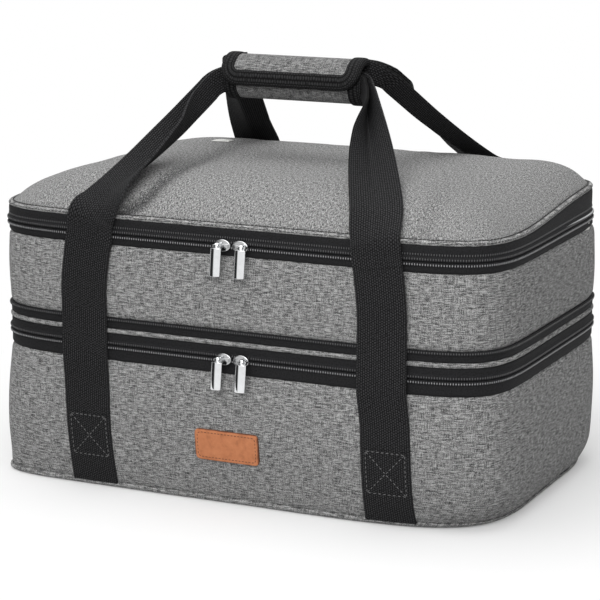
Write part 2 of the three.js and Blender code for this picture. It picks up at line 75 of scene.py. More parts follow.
# Heights of the seams and slits, as the solids have them
level = {
    "pipingTop": high("base_piping").z,
    "lowerSeam": low("lower_zip_bottom_tape").z,
    "lowerSlit": between("lower_zip_bottom_tape", "lower_zip_top_tape"),
    "stripBottom": low("seam_strip").z,
    "bandBottom": low("expansion_zip_tape").z,
    "bandTop": low("upper_wall").z,
    "upperSeam": low("lid_zip_bottom_tape").z,
    "lidSlit": between("lid_zip_bottom_tape", "lid_zip_top_tape"),
    "lidSeam": low("lid_welt").z,
    "weltTop": high("lid_welt").z,
    "lidTop": high("lid_panel").z,
    "gripMiddle": middleOf("front_strap_grip_run").z,
}

# The body's plan and how its wall draws in towards the base
body = {
    "halfLength": high("upper_wall").x,
    "halfDepth": high("upper_wall").y,
    "cornerPower": 6.9,
    "rightBasePower": 4.6,
    "leftBasePower": 11.0,
    "frontDrawIn": 11.5 * mm,
    "drawInHeight": 80 * mm,
    "rightCornerHeight": 42 * mm,
    "leftCornerHeight": 110 * mm,
    "leftDrawIn": -2 * mm,
    "rightDrawIn": 10 * mm,
    "sideDrawInHeight": 26 * mm,
    "sideSwell": 2.0 * mm,
    "swellPower": 0.8,
    "cornerSpread": (0.7, 0.5),
    "hingeHalfLength": high("lower_hinge_bottom_strip").x,
}
halfSize = np.array([body["halfLength"], body["halfDepth"]])


# Selecting, adding, editing and modifiers
def choose(*pieces):
    bpy.ops.object.select_all(action="DESELECT")
    for piece in pieces:
        piece.select_set(True)
    if pieces:
        bpy.context.view_layer.objects.active = pieces[0]


def added(operator, name, **settings):
    choose()
    operator(**settings)
    piece = bpy.context.object
    piece.name = piece.data.name = name
    return piece


def editAll(piece, *steps):
    choose(piece)
    bpy.ops.object.mode_set(mode="EDIT")
    bpy.ops.mesh.select_all(action="SELECT")
    for step in steps:
        step()
    bpy.ops.object.mode_set(mode="OBJECT")


def modify(piece, kind, **settings):
    choose(piece)
    bpy.ops.object.modifier_add(type=kind)
    modifier = piece.modifiers[-1]
    for key, value in settings.items():
        setattr(modifier, key, value)
    bpy.ops.object.modifier_apply(modifier=modifier.name)


def roundEdges(piece, width, segments, angle=60):
    modify(
        piece, "BEVEL", width=width, segments=segments, limit_method="ANGLE",
        angle_limit=math.radians(angle), use_clamp_overlap=True,
    )


def smooth(piece, angle=None):
    choose(piece)
    if angle is None:
        bpy.ops.object.shade_smooth()
    else:
        bpy.ops.object.shade_smooth_by_angle(angle=math.radians(angle))


# A sheet gets its thickness, edges rounded by a width and a number of segments, and smooth shading
def makeSolid(piece, thickness=None, offset=-1.0, even=True, bevel=None, angle=None):
    if thickness:
        modify(piece, "SOLIDIFY", thickness=thickness, offset=offset, use_even_offset=even)
    if bevel:
        roundEdges(piece, *bevel)
    smooth(piece, angle)


def mergeSeams(piece):
    editAll(piece, lambda: bpy.ops.mesh.remove_doubles(threshold=0.02 * mm))


def join(pieces, name):
    choose(*pieces)
    bpy.ops.object.join()
    pieces[0].name = pieces[0].data.name = name
    return pieces[0]


def vertexPlaces(piece):
    places = np.empty(len(piece.data.vertices) * 3)
    piece.data.vertices.foreach_get("co", places)
    return places.reshape(-1, 3)


def setPlaces(piece, places):
    piece.data.vertices.foreach_set("co", np.ascontiguousarray(places).ravel())
    piece.data.update()


def setFlat(piece, flat):
    mesh = piece.data
    if not mesh.uv_layers:
        mesh.uv_layers.new(name="UVMap")
    corners = np.empty(len(mesh.loops), dtype=np.int32)
    mesh.loops.foreach_get("vertex_index", corners)
    mesh.uv_layers[0].data.foreach_set("uv", np.ascontiguousarray(flat[corners]).ravel())


# A flat grid laid on a surface: place gives points, and flat the cloth's own metres or its two lengths
def gridSheet(name, columns, rows, place, flat):
    grid = bpy.ops.mesh.primitive_grid_add
    piece = added(grid, name, x_subdivisions=columns, y_subdivisions=rows, size=2)
    across, along = (vertexPlaces(piece)[:, :2].T + 1) / 2
    setPlaces(piece, place(across, along))
    if isinstance(flat, tuple):
        setFlat(piece, np.column_stack([across, along]) * flat)
    else:
        setFlat(piece, flat(across, along))
    return piece


# A smooth line through points, read from 0 to 1
def smoothLine(points):
    knots = np.array(points, float)
    held = np.vstack([2 * knots[0] - knots[1], knots, 2 * knots[-1] - knots[-2]])

    def at(share):
        place = np.clip(share, 0, 1) * (len(knots) - 1)
        first = np.minimum(place.astype(int), len(knots) - 2)
        f = (place - first)[:, None]
        a, b, c, d = (held[first + k] for k in range(4))
        bend = (2 * a - 5 * b + 4 * c - d) * f**2 + (3 * b - a - 3 * c + d) * f**3
        return b + ((c - a) * f + bend) / 2

    return at


def unit(vectors):
    return vectors / np.linalg.norm(vectors, axis=-1, keepdims=True)


def ease(value, start, stop):
    share = np.clip((value - start) / (stop - start), 0, 1)
    return share * share * (3 - 2 * share)


# The length of a line up to each of its points, and spots and directions read off at lengths
def lengthAlong(points):
    steps = np.linalg.norm(np.diff(points, axis=0), axis=1)
    return np.concatenate([[0], np.cumsum(steps)])


def spotsAt(at, distance, points):
    return np.column_stack([np.interp(at, distance, values) for values in points.T])


def directionAt(at, distance, points, step):
    return unit(spotsAt(at + step, distance, points) - spotsAt(at - step, distance, points))


# The plan as a table, from the middle of the back by way of the left, front and right
def planTable(count=6000):
    turn = np.linspace(0.5 * np.pi, 2.5 * np.pi, count + 1)
    way = np.column_stack([np.cos(turn), np.sin(turn)])
    power = body["cornerPower"]
    reach = (np.abs(way / halfSize) ** power).sum(axis=1) ** (-1 / power)
    points = way * reach[:, None]
    return points, lengthAlong(points)


planPoints, planLength = planTable()
perimeter = planLength[-1]
firstQuarter = slice(0, len(planPoints) // 4)
diagonal = np.abs(np.diff(np.abs(planPoints[firstQuarter] / halfSize), axis=1)).argmin()
cornerShare = planLength[diagonal] / perimeter
hingeLength = np.interp(body["hingeHalfLength"], -planPoints[firstQuarter, 0], planLength[firstQuarter])
hingeShare = hingeLength / perimeter


def outwardAt(spot):
    slope = np.sign(spot) * np.abs(spot / halfSize) ** (body["cornerPower"] - 1) / halfSize
    return slope / np.maximum(np.linalg.norm(slope, axis=1, keepdims=True), 1e-9)


def planAt(share):
    spot = spotsAt((np.asarray(share, float) % 1.0) * perimeter, planLength, planPoints)
    return spot, outwardAt(spot)


def towards(height, reach):
    return np.clip(1 - height / body[reach], 0, 1) ** 2


# Half sizes and corner of the plan at a height: drawn in towards the base, its front corners unlike there
def planShape(x, y, height):
    swell = np.sin(np.pi * np.clip(height / level["lowerSeam"], 0, 1)) ** body["swellPower"]
    drawIn = np.where(x > 0, body["rightDrawIn"], body["leftDrawIn"])
    side = body["halfLength"] - drawIn * towards(height, "sideDrawInHeight") + body["sideSwell"] * swell
    front = body["halfDepth"] - body["frontDrawIn"] * towards(height, "drawInHeight")
    right = (body["rightBasePower"] - body["cornerPower"]) * towards(height, "rightCornerHeight")
    left = (body["leftBasePower"] - body["cornerPower"]) * towards(height, "leftCornerHeight")
    spreadX, spreadY = body["cornerSpread"] * halfSize
    near = ease(np.abs(x), 0, spreadX) * ease(-y, 0, spreadY)
    return side, front, body["cornerPower"] + np.where(x > 0, right, left) * near


def drawnIn(spot, height):
    side, front, power = planShape(spot[:, 0], spot[:, 1], height)
    way = unit(spot)
    reach = (np.abs(way[:, 0]) / side) ** power + (np.abs(way[:, 1]) / front) ** power
    return way * (reach ** (-1 / power))[:, None]


def wallDepth(x, height, sideY=-1):
    side, front, power = planShape(x, sideY * body["halfDepth"], height)
    return front * (1 - (np.abs(x) / side) ** power) ** (1 / power)


# The lid's seam rides up and in towards the back of the right side
seamRise = {
    "lift": 8.8 * mm, "drawIn": 2.6 * mm, "alongX": (130 * mm, 195 * mm), "alongY": (-75 * mm, 85 * mm),
    "aboveSlit": 3 * mm, "belowSeam": 8 * mm,
}


def onSeam(spot, height):
    here = ease(spot[:, 0], *seamRise["alongX"]) * ease(spot[:, 1], *seamRise["alongY"])
    lift = here * ease(height, level["lidSlit"] + seamRise["aboveSlit"], level["lidSeam"])
    drawn = here * ease(height, level["upperSeam"] - seamRise["belowSeam"], level["lidSlit"])
    x = spot[:, 0] - seamRise["drawIn"] * drawn
    return np.column_stack([x, spot[:, 1], height + seamRise["lift"] * lift])


# Three waves round the body, each with its count, slope, size and share of the phase
waves = ((5, 4, 1.0, 1.0), (11, -7, 0.6, 2.1), (23, 11, 0.5, -1.0))


def ripple(share, height, amount, phase):
    turn, rise = 2 * np.pi * share, height / (100 * mm)
    swing = [size * np.sin(count * turn + slope * rise + late * phase) for count, slope, size, late in waves]
    return amount * sum(swing) / 2


# A band carried round the plan: profile gives how far it stands out, and its height
def bandAround(name, columns, rows, profile, start=0.0, stop=1.0, thickness=None):
    def place(across, along):
        share = start + (stop - start) * across
        spot, outward = planAt(share)
        offset, height = profile(along, outward, share)
        return onSeam(drawnIn(spot, height) + outward * offset[:, None], height)

    def flat(across, along):
        share = start + (stop - start) * across
        height = profile(along, planAt(share)[1], share)[1]
        return np.column_stack([share * perimeter, height])

    piece = gridSheet(name, columns, rows, place, flat)
    if stop - start == 1:
        mergeSeams(piece)
    makeSolid(piece, thickness)
    return piece


# A profile that is the same line of offsets and heights all the way round
def lineProfile(points):
    line = smoothLine(points)
    return lambda along, outward, share: line(along).T


def plan(places):
    return places[:, :2]


# A square grid spread over the plan; ring gives scale, inset and height from the middle out to the rim
def dishSheet(name, columns, rows, ring, flat=plan, lifted=True):
    def shares(across, along):
        s, t = 2 * across - 1, 2 * along - 1
        reach = np.maximum(np.abs(s), np.abs(t))
        s, t = s / np.maximum(reach, 1e-9), t / np.maximum(reach, 1e-9)
        side = 0.25 - cornerShare
        share = np.select(
            [t >= 1 - 1e-6, s <= -1 + 1e-6, t <= -1 + 1e-6],
            [-s * cornerShare, 0.25 - t * side, 0.5 + s * cornerShare],
            0.75 + t * side,
        )
        return reach, share

    def place(across, along):
        reach, share = shares(across, along)
        spot, outward = planAt(share)
        scale, inset, height = ring(reach, outward, share)
        spot = (drawnIn(spot, height) - outward * inset[:, None]) * scale[:, None]
        return onSeam(spot, height) if lifted else np.column_stack([spot, height])

    return gridSheet(name, columns, rows, place, lambda across, along: flat(place(across, along)))


# One small shape copied to many places, each turned to lie along and out from the surface
def copiesAt(name, model, places, along, outward):
    shape = vertexPlaces(model)
    faces = [list(face.vertices) for face in model.data.polygons]
    bpy.data.objects.remove(model)
    across = np.cross(outward, along)
    turned = (
        along[:, None, :] * shape[None, :, 0, None]
        + across[:, None, :] * shape[None, :, 1, None]
        + outward[:, None, :] * shape[None, :, 2, None]
    )
    points = (places[:, None, :] + turned).reshape(-1, 3)
    allFaces = [[v + k * len(shape) for v in face] for k in range(len(places)) for face in faces]
    mesh = bpy.data.meshes.new(name)
    mesh.from_pydata(points.tolist(), [], allFaces)
    piece = bpy.data.objects.new(name, mesh)
    bpy.context.scene.collection.objects.link(piece)
    smooth(piece)
    return piece


# Stitches spaced along a line of points, each with the direction out of the cloth
stitches = {
    "coil": {"pitch": 1.9 * mm, "size": (1.7 * mm, 0.8 * mm, 0.64 * mm), "turned": True},
    "lid": {"pitch": 3.2 * mm, "size": (3.0 * mm, 0.7 * mm, 0.8 * mm), "turned": False},
    "strap": {"pitch": 3.6 * mm, "size": (2.5 * mm, 0.55 * mm, 0.6 * mm), "turned": False},
    "patch": {"pitch": 2.7 * mm, "size": (2.0 * mm, 0.62 * mm, 0.5 * mm), "turned": False},
}


def stitchLine(name, points, outward, kind):
    stitch = stitches[kind]
    distance = lengthAlong(points)
    count = max(2, round(distance[-1] / stitch["pitch"]))
    at = (np.arange(count) + 0.5) * distance[-1] / count
    out = unit(spotsAt(at, distance, outward))
    along = directionAt(at, distance, points, 0.1 * mm)
    along = unit(along - out * (along * out).sum(axis=1, keepdims=True))
    if stitch["turned"]:
        along = np.cross(out, along)
    ball = bpy.ops.mesh.primitive_uv_sphere_add
    model = added(ball, "stitch", segments=8, ring_count=4, radius=0.5)
    editAll(model, lambda: bpy.ops.transform.resize(value=stitch["size"]))
    return copiesAt(name, model, spotsAt(at, distance, points), along, out)


# Shader maths: a socket that can be added, multiplied and so on
class Wire:
    def __init__(self, look, socket):
        self.look = look
        self.socket = socket

    def math(self, operation, *values):
        inputs = dict(enumerate(values))
        return self.look.node("ShaderNodeMath", {"operation": operation}, inputs)

    def __add__(self, other):
        return self.math("ADD", self, other)

    __radd__ = __add__

    def __sub__(self, other):
        return self.math("SUBTRACT", self, other)

    def __rsub__(self, other):
        return self.math("SUBTRACT", other, self)

    def __mul__(self, other):
        return self.math("MULTIPLY", self, other)

    __rmul__ = __mul__

    def __truediv__(self, other):
        return self.math("DIVIDE", self, other)

    def __rtruediv__(self, other):
        return self.math("DIVIDE", other, self)

    def __abs__(self):
        return self.math("ABSOLUTE", self)

    def sine(self):
        return self.math("SINE", self)

    def floor(self):
        return self.math("FLOOR", self)

    def root(self):
        return self.math("SQRT", self)

    def highest(self, other):
        return self.math("MAXIMUM", self, other)

    def lowest(self, other):
        return self.math("MINIMUM", self, other)

    def steps(self, start, stop):
        limits = {0: self, 1: start, 2: stop}
        return self.look.node("ShaderNodeMapRange", {"interpolation_type": "SMOOTHSTEP"}, limits)


# One material, or the world, and its nodes
class Look:
    def __init__(self, name, store=bpy.data.materials):
        self.owner = store.new(name)
        self.owner.use_nodes = True
        self.nodes = self.owner.node_tree.nodes
        self.links = self.owner.node_tree.links
        self.nodes.clear()

    def plug(self, socket, value):
        if isinstance(value, Wire):
            self.links.new(value.socket, socket)
        else:
            socket.default_value = value

    def node(self, kind, settings=None, inputs=None, output=0):
        made = self.nodes.new(kind)
        for key, value in (settings or {}).items():
            if key == "stops":
                ramp = made.color_ramp
                while len(ramp.elements) < len(value):
                    ramp.elements.new(1.0)
                for element, (place, colour) in zip(ramp.elements, value):
                    element.position = place
                    element.color = (*colour, 1)
            else:
                setattr(made, key, value)
        for key, value in (inputs or {}).items():
            self.plug(made.inputs[key], value)
        return None if output is None else Wire(self, made.outputs[output])

    def coordinates(self, output, scale=(1, 1, 1), move=(0, 0, 0)):
        spot = self.node("ShaderNodeTexCoord", output=output)
        return self.node("ShaderNodeMapping", None, {"Vector": spot, "Scale": scale, "Location": move})

    def parts(self, vector):
        return [self.node("ShaderNodeSeparateXYZ", None, {0: vector}, output=k) for k in range(3)]

    def noise(self, vector, scale=1.0, detail=2.0, rough=0.5):
        sockets = {"Vector": vector, "Scale": scale, "Detail": detail, "Roughness": rough}
        return self.node("ShaderNodeTexNoise", None, sockets)

    def cells(self, vector, scale):
        sockets = {"Vector": vector, "Scale": scale}
        return self.node("ShaderNodeTexVoronoi", {"feature": "DISTANCE_TO_EDGE"}, sockets)

    def ramp(self, value, *stops):
        return self.node("ShaderNodeValToRGB", {"stops": stops}, {0: value})

    def bump(self, height, strength, distance):
        sockets = {"Height": height, "Strength": strength, "Distance": distance}
        return self.node("ShaderNodeBump", None, sockets)

    def seenBy(self, first, *others):
        seen = self.node("ShaderNodeLightPath", output=first)
        for ray in others:
            seen = seen.highest(self.node("ShaderNodeLightPath", output=ray))
        return seen

    def shade(self, shader, kind="ShaderNodeOutputMaterial"):
        self.node(kind, None, {0: shader}, output=None)
        return self.owner

    def finish(self, **sockets):
        values = {key.replace("_", " "): value for key, value in sockets.items()}
        return self.shade(self.node("ShaderNodeBsdfPrincipled", None, values))


# Heathered grey cloth: light and dark yarns, mostly across, with slubs and a fine weave
heather = {
    "yarn": 0.48 * mm, "weftStreak": 8 * mm, "warpStreak": 7 * mm, "speck": 0.58 * mm,
    "across": 1.8, "up": 1.2, "specks": 2.2, "slubs": 1.0, "paintedFoldShade": 0.42,
    "dark": (0.04, 0.04, 0.041), "middle": (0.215, 0.215, 0.214), "light": (0.5, 0.5, 0.495),
}


def heatherFabric(name, tone=1.0, paintedShadeAttribute=None, streak=1.0):
    look = Look(name)
    dark, middle, light = (tuple(tone * c for c in heather[key]) for key in ("dark", "middle", "light"))
    fine, speck = 1 / heather["yarn"], 1 / heather["speck"]
    weftStreak, warpStreak = 1 / (streak * heather["weftStreak"]), 1 / (streak * heather["warpStreak"])
    yarns = {
        "across": ((weftStreak, fine, fine), (0, 0, 0)),
        "up": ((fine, warpStreak, warpStreak), (3, 7, 0)),
        "specks": ((speck, speck, speck), (5, 1, 0)),
        "slubs": ((2 * weftStreak, fine / 3, fine / 3), (9, 2, 0)),
    }
    cross = 0
    for key, (scale, move) in yarns.items():
        yarn = look.noise(look.coordinates("UV", scale, move), detail=1)
        cross = cross + (yarn - 0.5) * heather[key]
    shade = cross + 0.5
    # Where the mesh stores a fold value, the yarns are darkened there: painted shade along the lid's creases
    if paintedShadeAttribute:
        fold = look.node("ShaderNodeAttribute", {"attribute_name": paintedShadeAttribute}, output="Fac")
        shade = shade - fold * heather["paintedFoldShade"]
    colour = look.ramp(shade, (0.05, dark), (0.5, middle), (0.98, light))
    u, v, w = look.parts(look.coordinates("UV", (np.pi * fine, np.pi * fine, np.pi * fine)))
    weave = u.sine() * v.sine()
    height = weave * 0.5 + cross
    return look.finish(
        Base_Color=colour, Roughness=0.93, Specular_IOR_Level=0.2, Sheen_Weight=0.05,
        Sheen_Roughness=0.5, Normal=look.bump(height, 0.3, 0.2 * mm),
    )


# Woven straps, zip tapes and bindings: ribs of light floats, staggered from rib to rib
webbing = {
    "across": 1.7 * mm, "along": 1.9 * mm,
    "dark": (0.0012, 0.0012, 0.0013), "light": (0.046, 0.046, 0.048),
}
zipWeave = {
    "across": 0.8 * mm, "along": 0.55 * mm,
    "dark": (0.008, 0.008, 0.0085), "light": (0.032, 0.032, 0.034),
}
bindingWeave = {
    "across": 1.7 * mm, "along": 2.2 * mm,
    "dark": (0.0015, 0.0015, 0.0016), "light": (0.034, 0.034, 0.035),
}


def ribbedWeave(name, sizes, roughness=0.8, output="UV"):
    look = Look(name)
    if output == "UV":
        u, v, w = look.parts(look.coordinates(output, (1 / sizes["across"], 1 / sizes["along"], 1)))
    else:
        v, w, u = look.parts(look.coordinates(output, (1 / sizes["along"], 1, 1 / sizes["across"])))
    rib = abs((u * np.pi).sine())
    floats = rib * abs(((v + u.floor() * 0.5) * np.pi).sine())
    wear = look.noise(look.coordinates(output, (900, 900, 900)), detail=1)
    tone = (rib * 0.12 + floats * 0.88) * (wear * 2.4 - 0.4)
    colour = look.ramp(tone, (0.06, sizes["dark"]), (0.8, sizes["light"]))
    return look.finish(
        Base_Color=colour, Roughness=roughness, Specular_IOR_Level=0.12,
        Normal=look.bump(floats, 0.6, 0.3 * mm),
    )


def threadLook(name, colour, shine):
    look = Look(name)
    twist = look.noise(look.coordinates("Object", (2200, 2200, 2200)), detail=2)
    tone = look.ramp(twist, (0.3, tuple(0.6 * c for c in colour)), (0.7, colour))
    return look.finish(Base_Color=tone, Roughness=shine, Normal=look.bump(twist, 0.3, 0.1 * mm))


def polishedChrome(name, colour, roughness):
    look = Look(name)
    smear = look.noise(look.coordinates("Object", (160, 160, 160)), detail=4)
    fine = look.noise(look.coordinates("Object", (1500, 1500, 300)), detail=2)
    tone = look.ramp(smear, (0.3, tuple(0.9 * c for c in colour)), (0.7, colour))
    return look.finish(
        Base_Color=tone, Metallic=1.0, Roughness=(smear * 0.7 + fine * 0.3) * roughness * 2,
    )


# Tan leather with pores and fine creases, burnished darker along the cut edge
def tanLeather(name, centre, halfWidth, halfHeight):
    look = Look(name)
    spot = look.coordinates("Object")
    pores = look.cells(spot, 1300.0)
    cloud = look.noise(spot, 180.0, 5.0, 0.6)
    x, y, z = look.parts(look.coordinates("Object", move=(-centre.x, 0, -centre.z)))
    edge = (abs(x) / halfWidth).highest(abs(z) / halfHeight)
    burnished = edge.steps(0.93, 1.02)
    tone = (cloud - 0.5) * 0.8 + 0.55 - burnished * 0.55
    colour = look.ramp(
        tone, (0.1, (0.14, 0.042, 0.015)), (0.5, (0.53, 0.19, 0.078)), (0.9, (0.66, 0.26, 0.115))
    )
    height = pores.lowest(0.12) * 4 + cloud
    return look.finish(
        Base_Color=colour, Roughness=0.62 - cloud * 0.2, Specular_IOR_Level=0.4,
        Normal=look.bump(height, 0.3, 0.2 * mm),
    )


# Silver lining: a foil face with soft creases
def foilLining(name):
    look = Look(name)
    spot = look.coordinates("Object")
    crease = look.cells(spot, 38.0)
    crumple = look.noise(spot, 60.0, 5.0, 0.6)
    fine = look.noise(spot, 900.0, 2.0)
    tone = look.ramp(crumple, (0.3, (0.42, 0.43, 0.44)), (0.7, (0.6, 0.615, 0.625)))
    height = crumple + crease.lowest(0.1) * 2 + fine * 0.05
    return look.finish(
        Base_Color=tone, Metallic=0.55, Roughness=0.42 + crumple * 0.2,
        Normal=look.bump(height, 0.25, 2 * mm),
    )


def grainyLook(name, dark, light, scale, roughness, depth):
    look = Look(name)
    grain = look.noise(look.coordinates("Object"), scale, 4.0, 0.6)
    colour = look.ramp(grain, (0.3, dark), (0.7, light))
    return look.finish(
        Base_Color=colour, Roughness=roughness, Normal=look.bump(grain, 0.4, depth)
    )


# Every finish, with the slot of the part that it fills
patchCentre, patchHalf = middleOf("leather_patch"), halfOf("leather_patch")
looks = {
    "grey": ("grey_fabric", heatherFabric("heatherFabric")),
    # The grip is the same grey cloth as the walls, darkened to 0.72 of its tone: painted shade
    "gripPaintedShadeGrey": ("grey_fabric", heatherFabric("gripFabricPaintedShade", 0.72)),
    # The lid's cloth is darkened along its creases from the stored fold value: painted shade
    "lidGrey": ("grey_fabric", heatherFabric("lidFabric", paintedShadeAttribute="fold", streak=0.45)),
    "webbing": ("black_webbing", ribbedWeave("ribbedWebbing", webbing)),
    "gripRun": (None, ribbedWeave("gripRunWebbing", webbing, output="Object")),
    "tape": ("zip_tape", ribbedWeave("zipTapeWeave", zipWeave, 0.75)),
    "binding": ("black_webbing", ribbedWeave("bindingWeave", bindingWeave)),
    # One coil thread in two copies: lighter for the zips' lower halves, painted highlight, and darker for the
    # upper halves and the band's coil, painted shade
    "teeth": ("zip_tape", threadLook("coilThreadPaintedHighlight", (0.4, 0.4, 0.41), 0.4)),
    "paintedShadeTeeth": ("zip_tape", threadLook("coilThreadPaintedShade", (0.11, 0.11, 0.113), 0.45)),
    "paleThread": ("black_webbing", threadLook("paleThread", (0.2, 0.2, 0.2), 0.6)),
    # Near-black thread for the lid's stitches: real stitching, darkened so that it also draws the seam
    # groove's shadow as painted shade
    "darkThreadAndSeamShade": ("grey_fabric", threadLook("darkThreadAndSeamShade", (0.03, 0.03, 0.03), 0.7)),
    "tanThread": ("tan_leather", threadLook("tanThread", (0.16, 0.055, 0.022), 0.6)),
    "chrome": ("pull_chrome", polishedChrome("pullChrome", (0.8, 0.81, 0.82), 0.07)),
    "slider": ("slider_chrome", polishedChrome("sliderChrome", (0.5, 0.505, 0.51), 0.14)),
    "leather": ("tan_leather", tanLeather("tanLeather", patchCentre, patchHalf.x, patchHalf.z)),
    "foil": ("foil_lining", foilLining("foilLining")),
    "foam": (None, grainyLook("whiteFoam", (0.68, 0.68, 0.65), (0.84, 0.84, 0.81), 700.0, 0.95, 0.3 * mm)),
    "board": (None, grainyLook("stiffBoard", (0.03, 0.03, 0.031), (0.05, 0.05, 0.052), 300.0, 0.6, 0.2 * mm)),
    "ribbon": (
        "white_tape",
        grainyLook("whiteRibbon", (0.66, 0.66, 0.64), (0.86, 0.86, 0.83), 1600.0, 0.8, 0.1 * mm),
    ),
    "hooks": (
        "hook_and_loop",
        grainyLook("hookAndLoop", (0.004, 0.004, 0.0045), (0.02, 0.02, 0.021), 1100.0, 1.0, 0.6 * mm),
    ),
}
print("finishes ready:", len(looks))


def dress(piece, look, rideOn=None, *nodes):
    slot, material = looks[look]
    piece.data.materials.clear()
    piece.data.materials.append(material)
    if nodes:
        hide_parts(*nodes)
    if rideOn:
        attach(piece, rideOn)
    return piece


# Solids that stay inside the walls keep their own shape
innerSolids = {
    "foam": ("lower_foam", "upper_foam", "lid_foam"),
    "board": ("base_board", "deck_board"),
    "gripRun": ("front_strap_grip_run", "back_strap_grip_run"),
}
for look, nodes in innerSolids.items():
    for node in nodes:
        dress(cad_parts[node], look)


# Grey walls, drawn in at their seams and slightly full between them
wallLook = {
    "tuck": 1.7 * mm, "tuckHeight": 4.5 * mm, "swell": 0.9 * mm, "ripple": 0.5 * mm, "thickness": 1.2 * mm,
    "crowding": 0.8, "columns": 360,
}
walls = {
    "lower": {
        "bottom": level["pipingTop"] - 1.2 * mm, "top": level["lowerSeam"], "flatHeight": 100 * mm,
        "rows": 34, "phase": 0.4,
    },
    "upper": {
        "bottom": level["bandTop"], "top": level["upperSeam"],
        "flatHeight": level["upperSeam"] - level["bandTop"], "rows": 26, "phase": 2.6,
    },
}


def wallProfile(bottom, top, phase):
    def profile(along, outward, share):
        crowded = along - wallLook["crowding"] * np.sin(2 * np.pi * along) / (2 * np.pi)
        height = bottom + (top - bottom) * crowded
        toSeam = np.minimum(height - bottom, top - height)
        offset = wallLook["swell"] * np.sin(np.pi * (height - bottom) / (top - bottom))
        offset = offset - wallLook["tuck"] * np.clip(1 - toSeam / wallLook["tuckHeight"], 0, 1) ** 2
        offset = offset + ripple(share, height, wallLook["ripple"], phase) * np.sin(np.pi * along)
        return offset, height

    return profile


for deck, wall in walls.items():
    profile = wallProfile(wall["bottom"], wall["top"], wall["phase"])
    piece = bandAround(
        deck + "Wall", wallLook["columns"], wall["rows"], profile, thickness=wallLook["thickness"]
    )
    dress(piece, "grey", deck + "_compartment", deck + "_wall")
    deck + "_foam"


# A round cord sewn into the seam round the base
piping = {
    "radius": 2.3 * mm, "middle": 2.5 * mm, "behindWall": 0.6 * mm, "tall": 0.95, "ripple": 0.35 * mm,
}


def pipingProfile(along, outward, share):
    turn = 2 * np.pi * along - np.pi
    middle = np.full_like(along, piping["middle"])
    wander = ripple(share, middle, piping["ripple"], 1.1) - piping["behindWall"]
    offset = piping["radius"] * np.cos(turn) + wander
    return offset, middle + piping["tall"] * piping["radius"] * np.sin(turn)


basePiping = bandAround("basePiping", wallLook["columns"], 12, pipingProfile)
dress(basePiping, "grey", "lower_compartment", "base_piping")


# Flat panels across the plan
def flatPanel(name, node, look, panelBody, inset):
    bottom, top = low(node).z, high(node).z

    def ring(reach, outward, share):
        return reach, np.full_like(reach, inset), np.full_like(reach, top)

    panel = dishSheet(name, 40, 26, ring)
    makeSolid(panel, top - bottom, angle=40)
    dress(panel, look, panelBody, node)


flatPanel("basePanel", "base_panel", "grey", "lower_compartment", 6 * mm)
deckInset = body["halfLength"] - high("deck_panel").x
flatPanel("deckPanel", "deck_panel", "foil", "upper_compartment", deckInset)
print("walls and panels made")


# Zips: each half is a tape with a rounded coil edge at the slit and rows of thread over it; the lower halves'
# coil rows take a lighter copy of the coil thread, painted highlight, and the upper halves' a darker copy,
# painted shade
zipLook = {
    "coilRise": 1.35 * mm, "coilMiddle": 1.95 * mm, "secondRow": 5.1 * mm, "thickness": 0.9 * mm,
    "columns": 330, "rows": 27, "run": (hingeShare, 1 - hingeShare),
}
zipHalves = (
    ("lowerZipBottom", "lower_zip_bottom_tape", "lowerSlit", "lowerSeam", "lower_compartment", "teeth"),
    ("lowerZipTop", "lower_zip_top_tape", "lowerSlit", "stripBottom", "upper_compartment", "paintedShadeTeeth"),
    ("lidZipBottom", "lid_zip_bottom_tape", "lidSlit", "upperSeam", "upper_compartment", "teeth"),
    ("lidZipTop", "lid_zip_top_tape", "lidSlit", "lidSeam", "lid", "paintedShadeTeeth"),
)


def tapeProfile(slit, width, side):
    rise = zipLook["coilRise"]
    half = [
        (-1.8 * mm, 0.06 * mm), (-0.2 * mm, 0.12 * mm), (0.7 * rise, 0.5 * mm), (rise, 1.4 * mm),
        (0.95 * rise, 2.5 * mm), (0.3 * rise, 3.4 * mm), (0.1 * mm, 4.3 * mm), (0.15 * mm, 0.75 * width),
        (-0.1 * mm, width - 1.1 * mm), (-1.3 * mm, width + 0.5 * mm),
    ]
    return lineProfile([(offset, slit + side * distance) for offset, distance in half[::side]])


# A row of stitches round the plan at one height, tilted up where tilt says so
def seamRow(name, kind, look, rowBody, height, stand, start=0.0, stop=1.0, tilt=0.0, count=1600):
    share = np.linspace(start, stop, count)
    spot, outward = planAt(share)
    points = onSeam(spot + outward * stand, np.full(count, height))
    out = unit(np.column_stack([outward, np.full(count, tilt)]))
    dress(stitchLine(name, points, out, kind), look, rowBody)


for name, node, slitName, seamName, halfBody, teeth in zipHalves:
    slit, seam = level[slitName], level[seamName]
    side = 1 if seam > slit else -1
    profile = tapeProfile(slit, abs(seam - slit), side)
    tape = bandAround(
        name, zipLook["columns"], zipLook["rows"], profile, *zipLook["run"], zipLook["thickness"]
    )
    dress(tape, "tape", halfBody, node)
    coil = slit + side * zipLook["coilMiddle"]
    seamRow(name + "Coil", "coil", teeth, halfBody, coil, zipLook["coilRise"], *zipLook["run"])
secondRow = level["lidSlit"] + zipLook["secondRow"]
seamRow("lidZipTopSecondRow", "coil", "paintedShadeTeeth", "lid", secondRow, 0.1 * mm, *zipLook["run"])


# Narrow bands: points give how far the cloth stands out in mm and its share of the height
def narrowBand(name, node, look, bandBody, bottom, top, points):
    profile = lineProfile([(offset * mm, bottom + share * (top - bottom)) for offset, share in points])
    rows = 3 * (len(points) - 1)
    band = bandAround(name, zipLook["columns"], rows, profile, thickness=zipLook["thickness"])
    dress(band, look, bandBody, node)


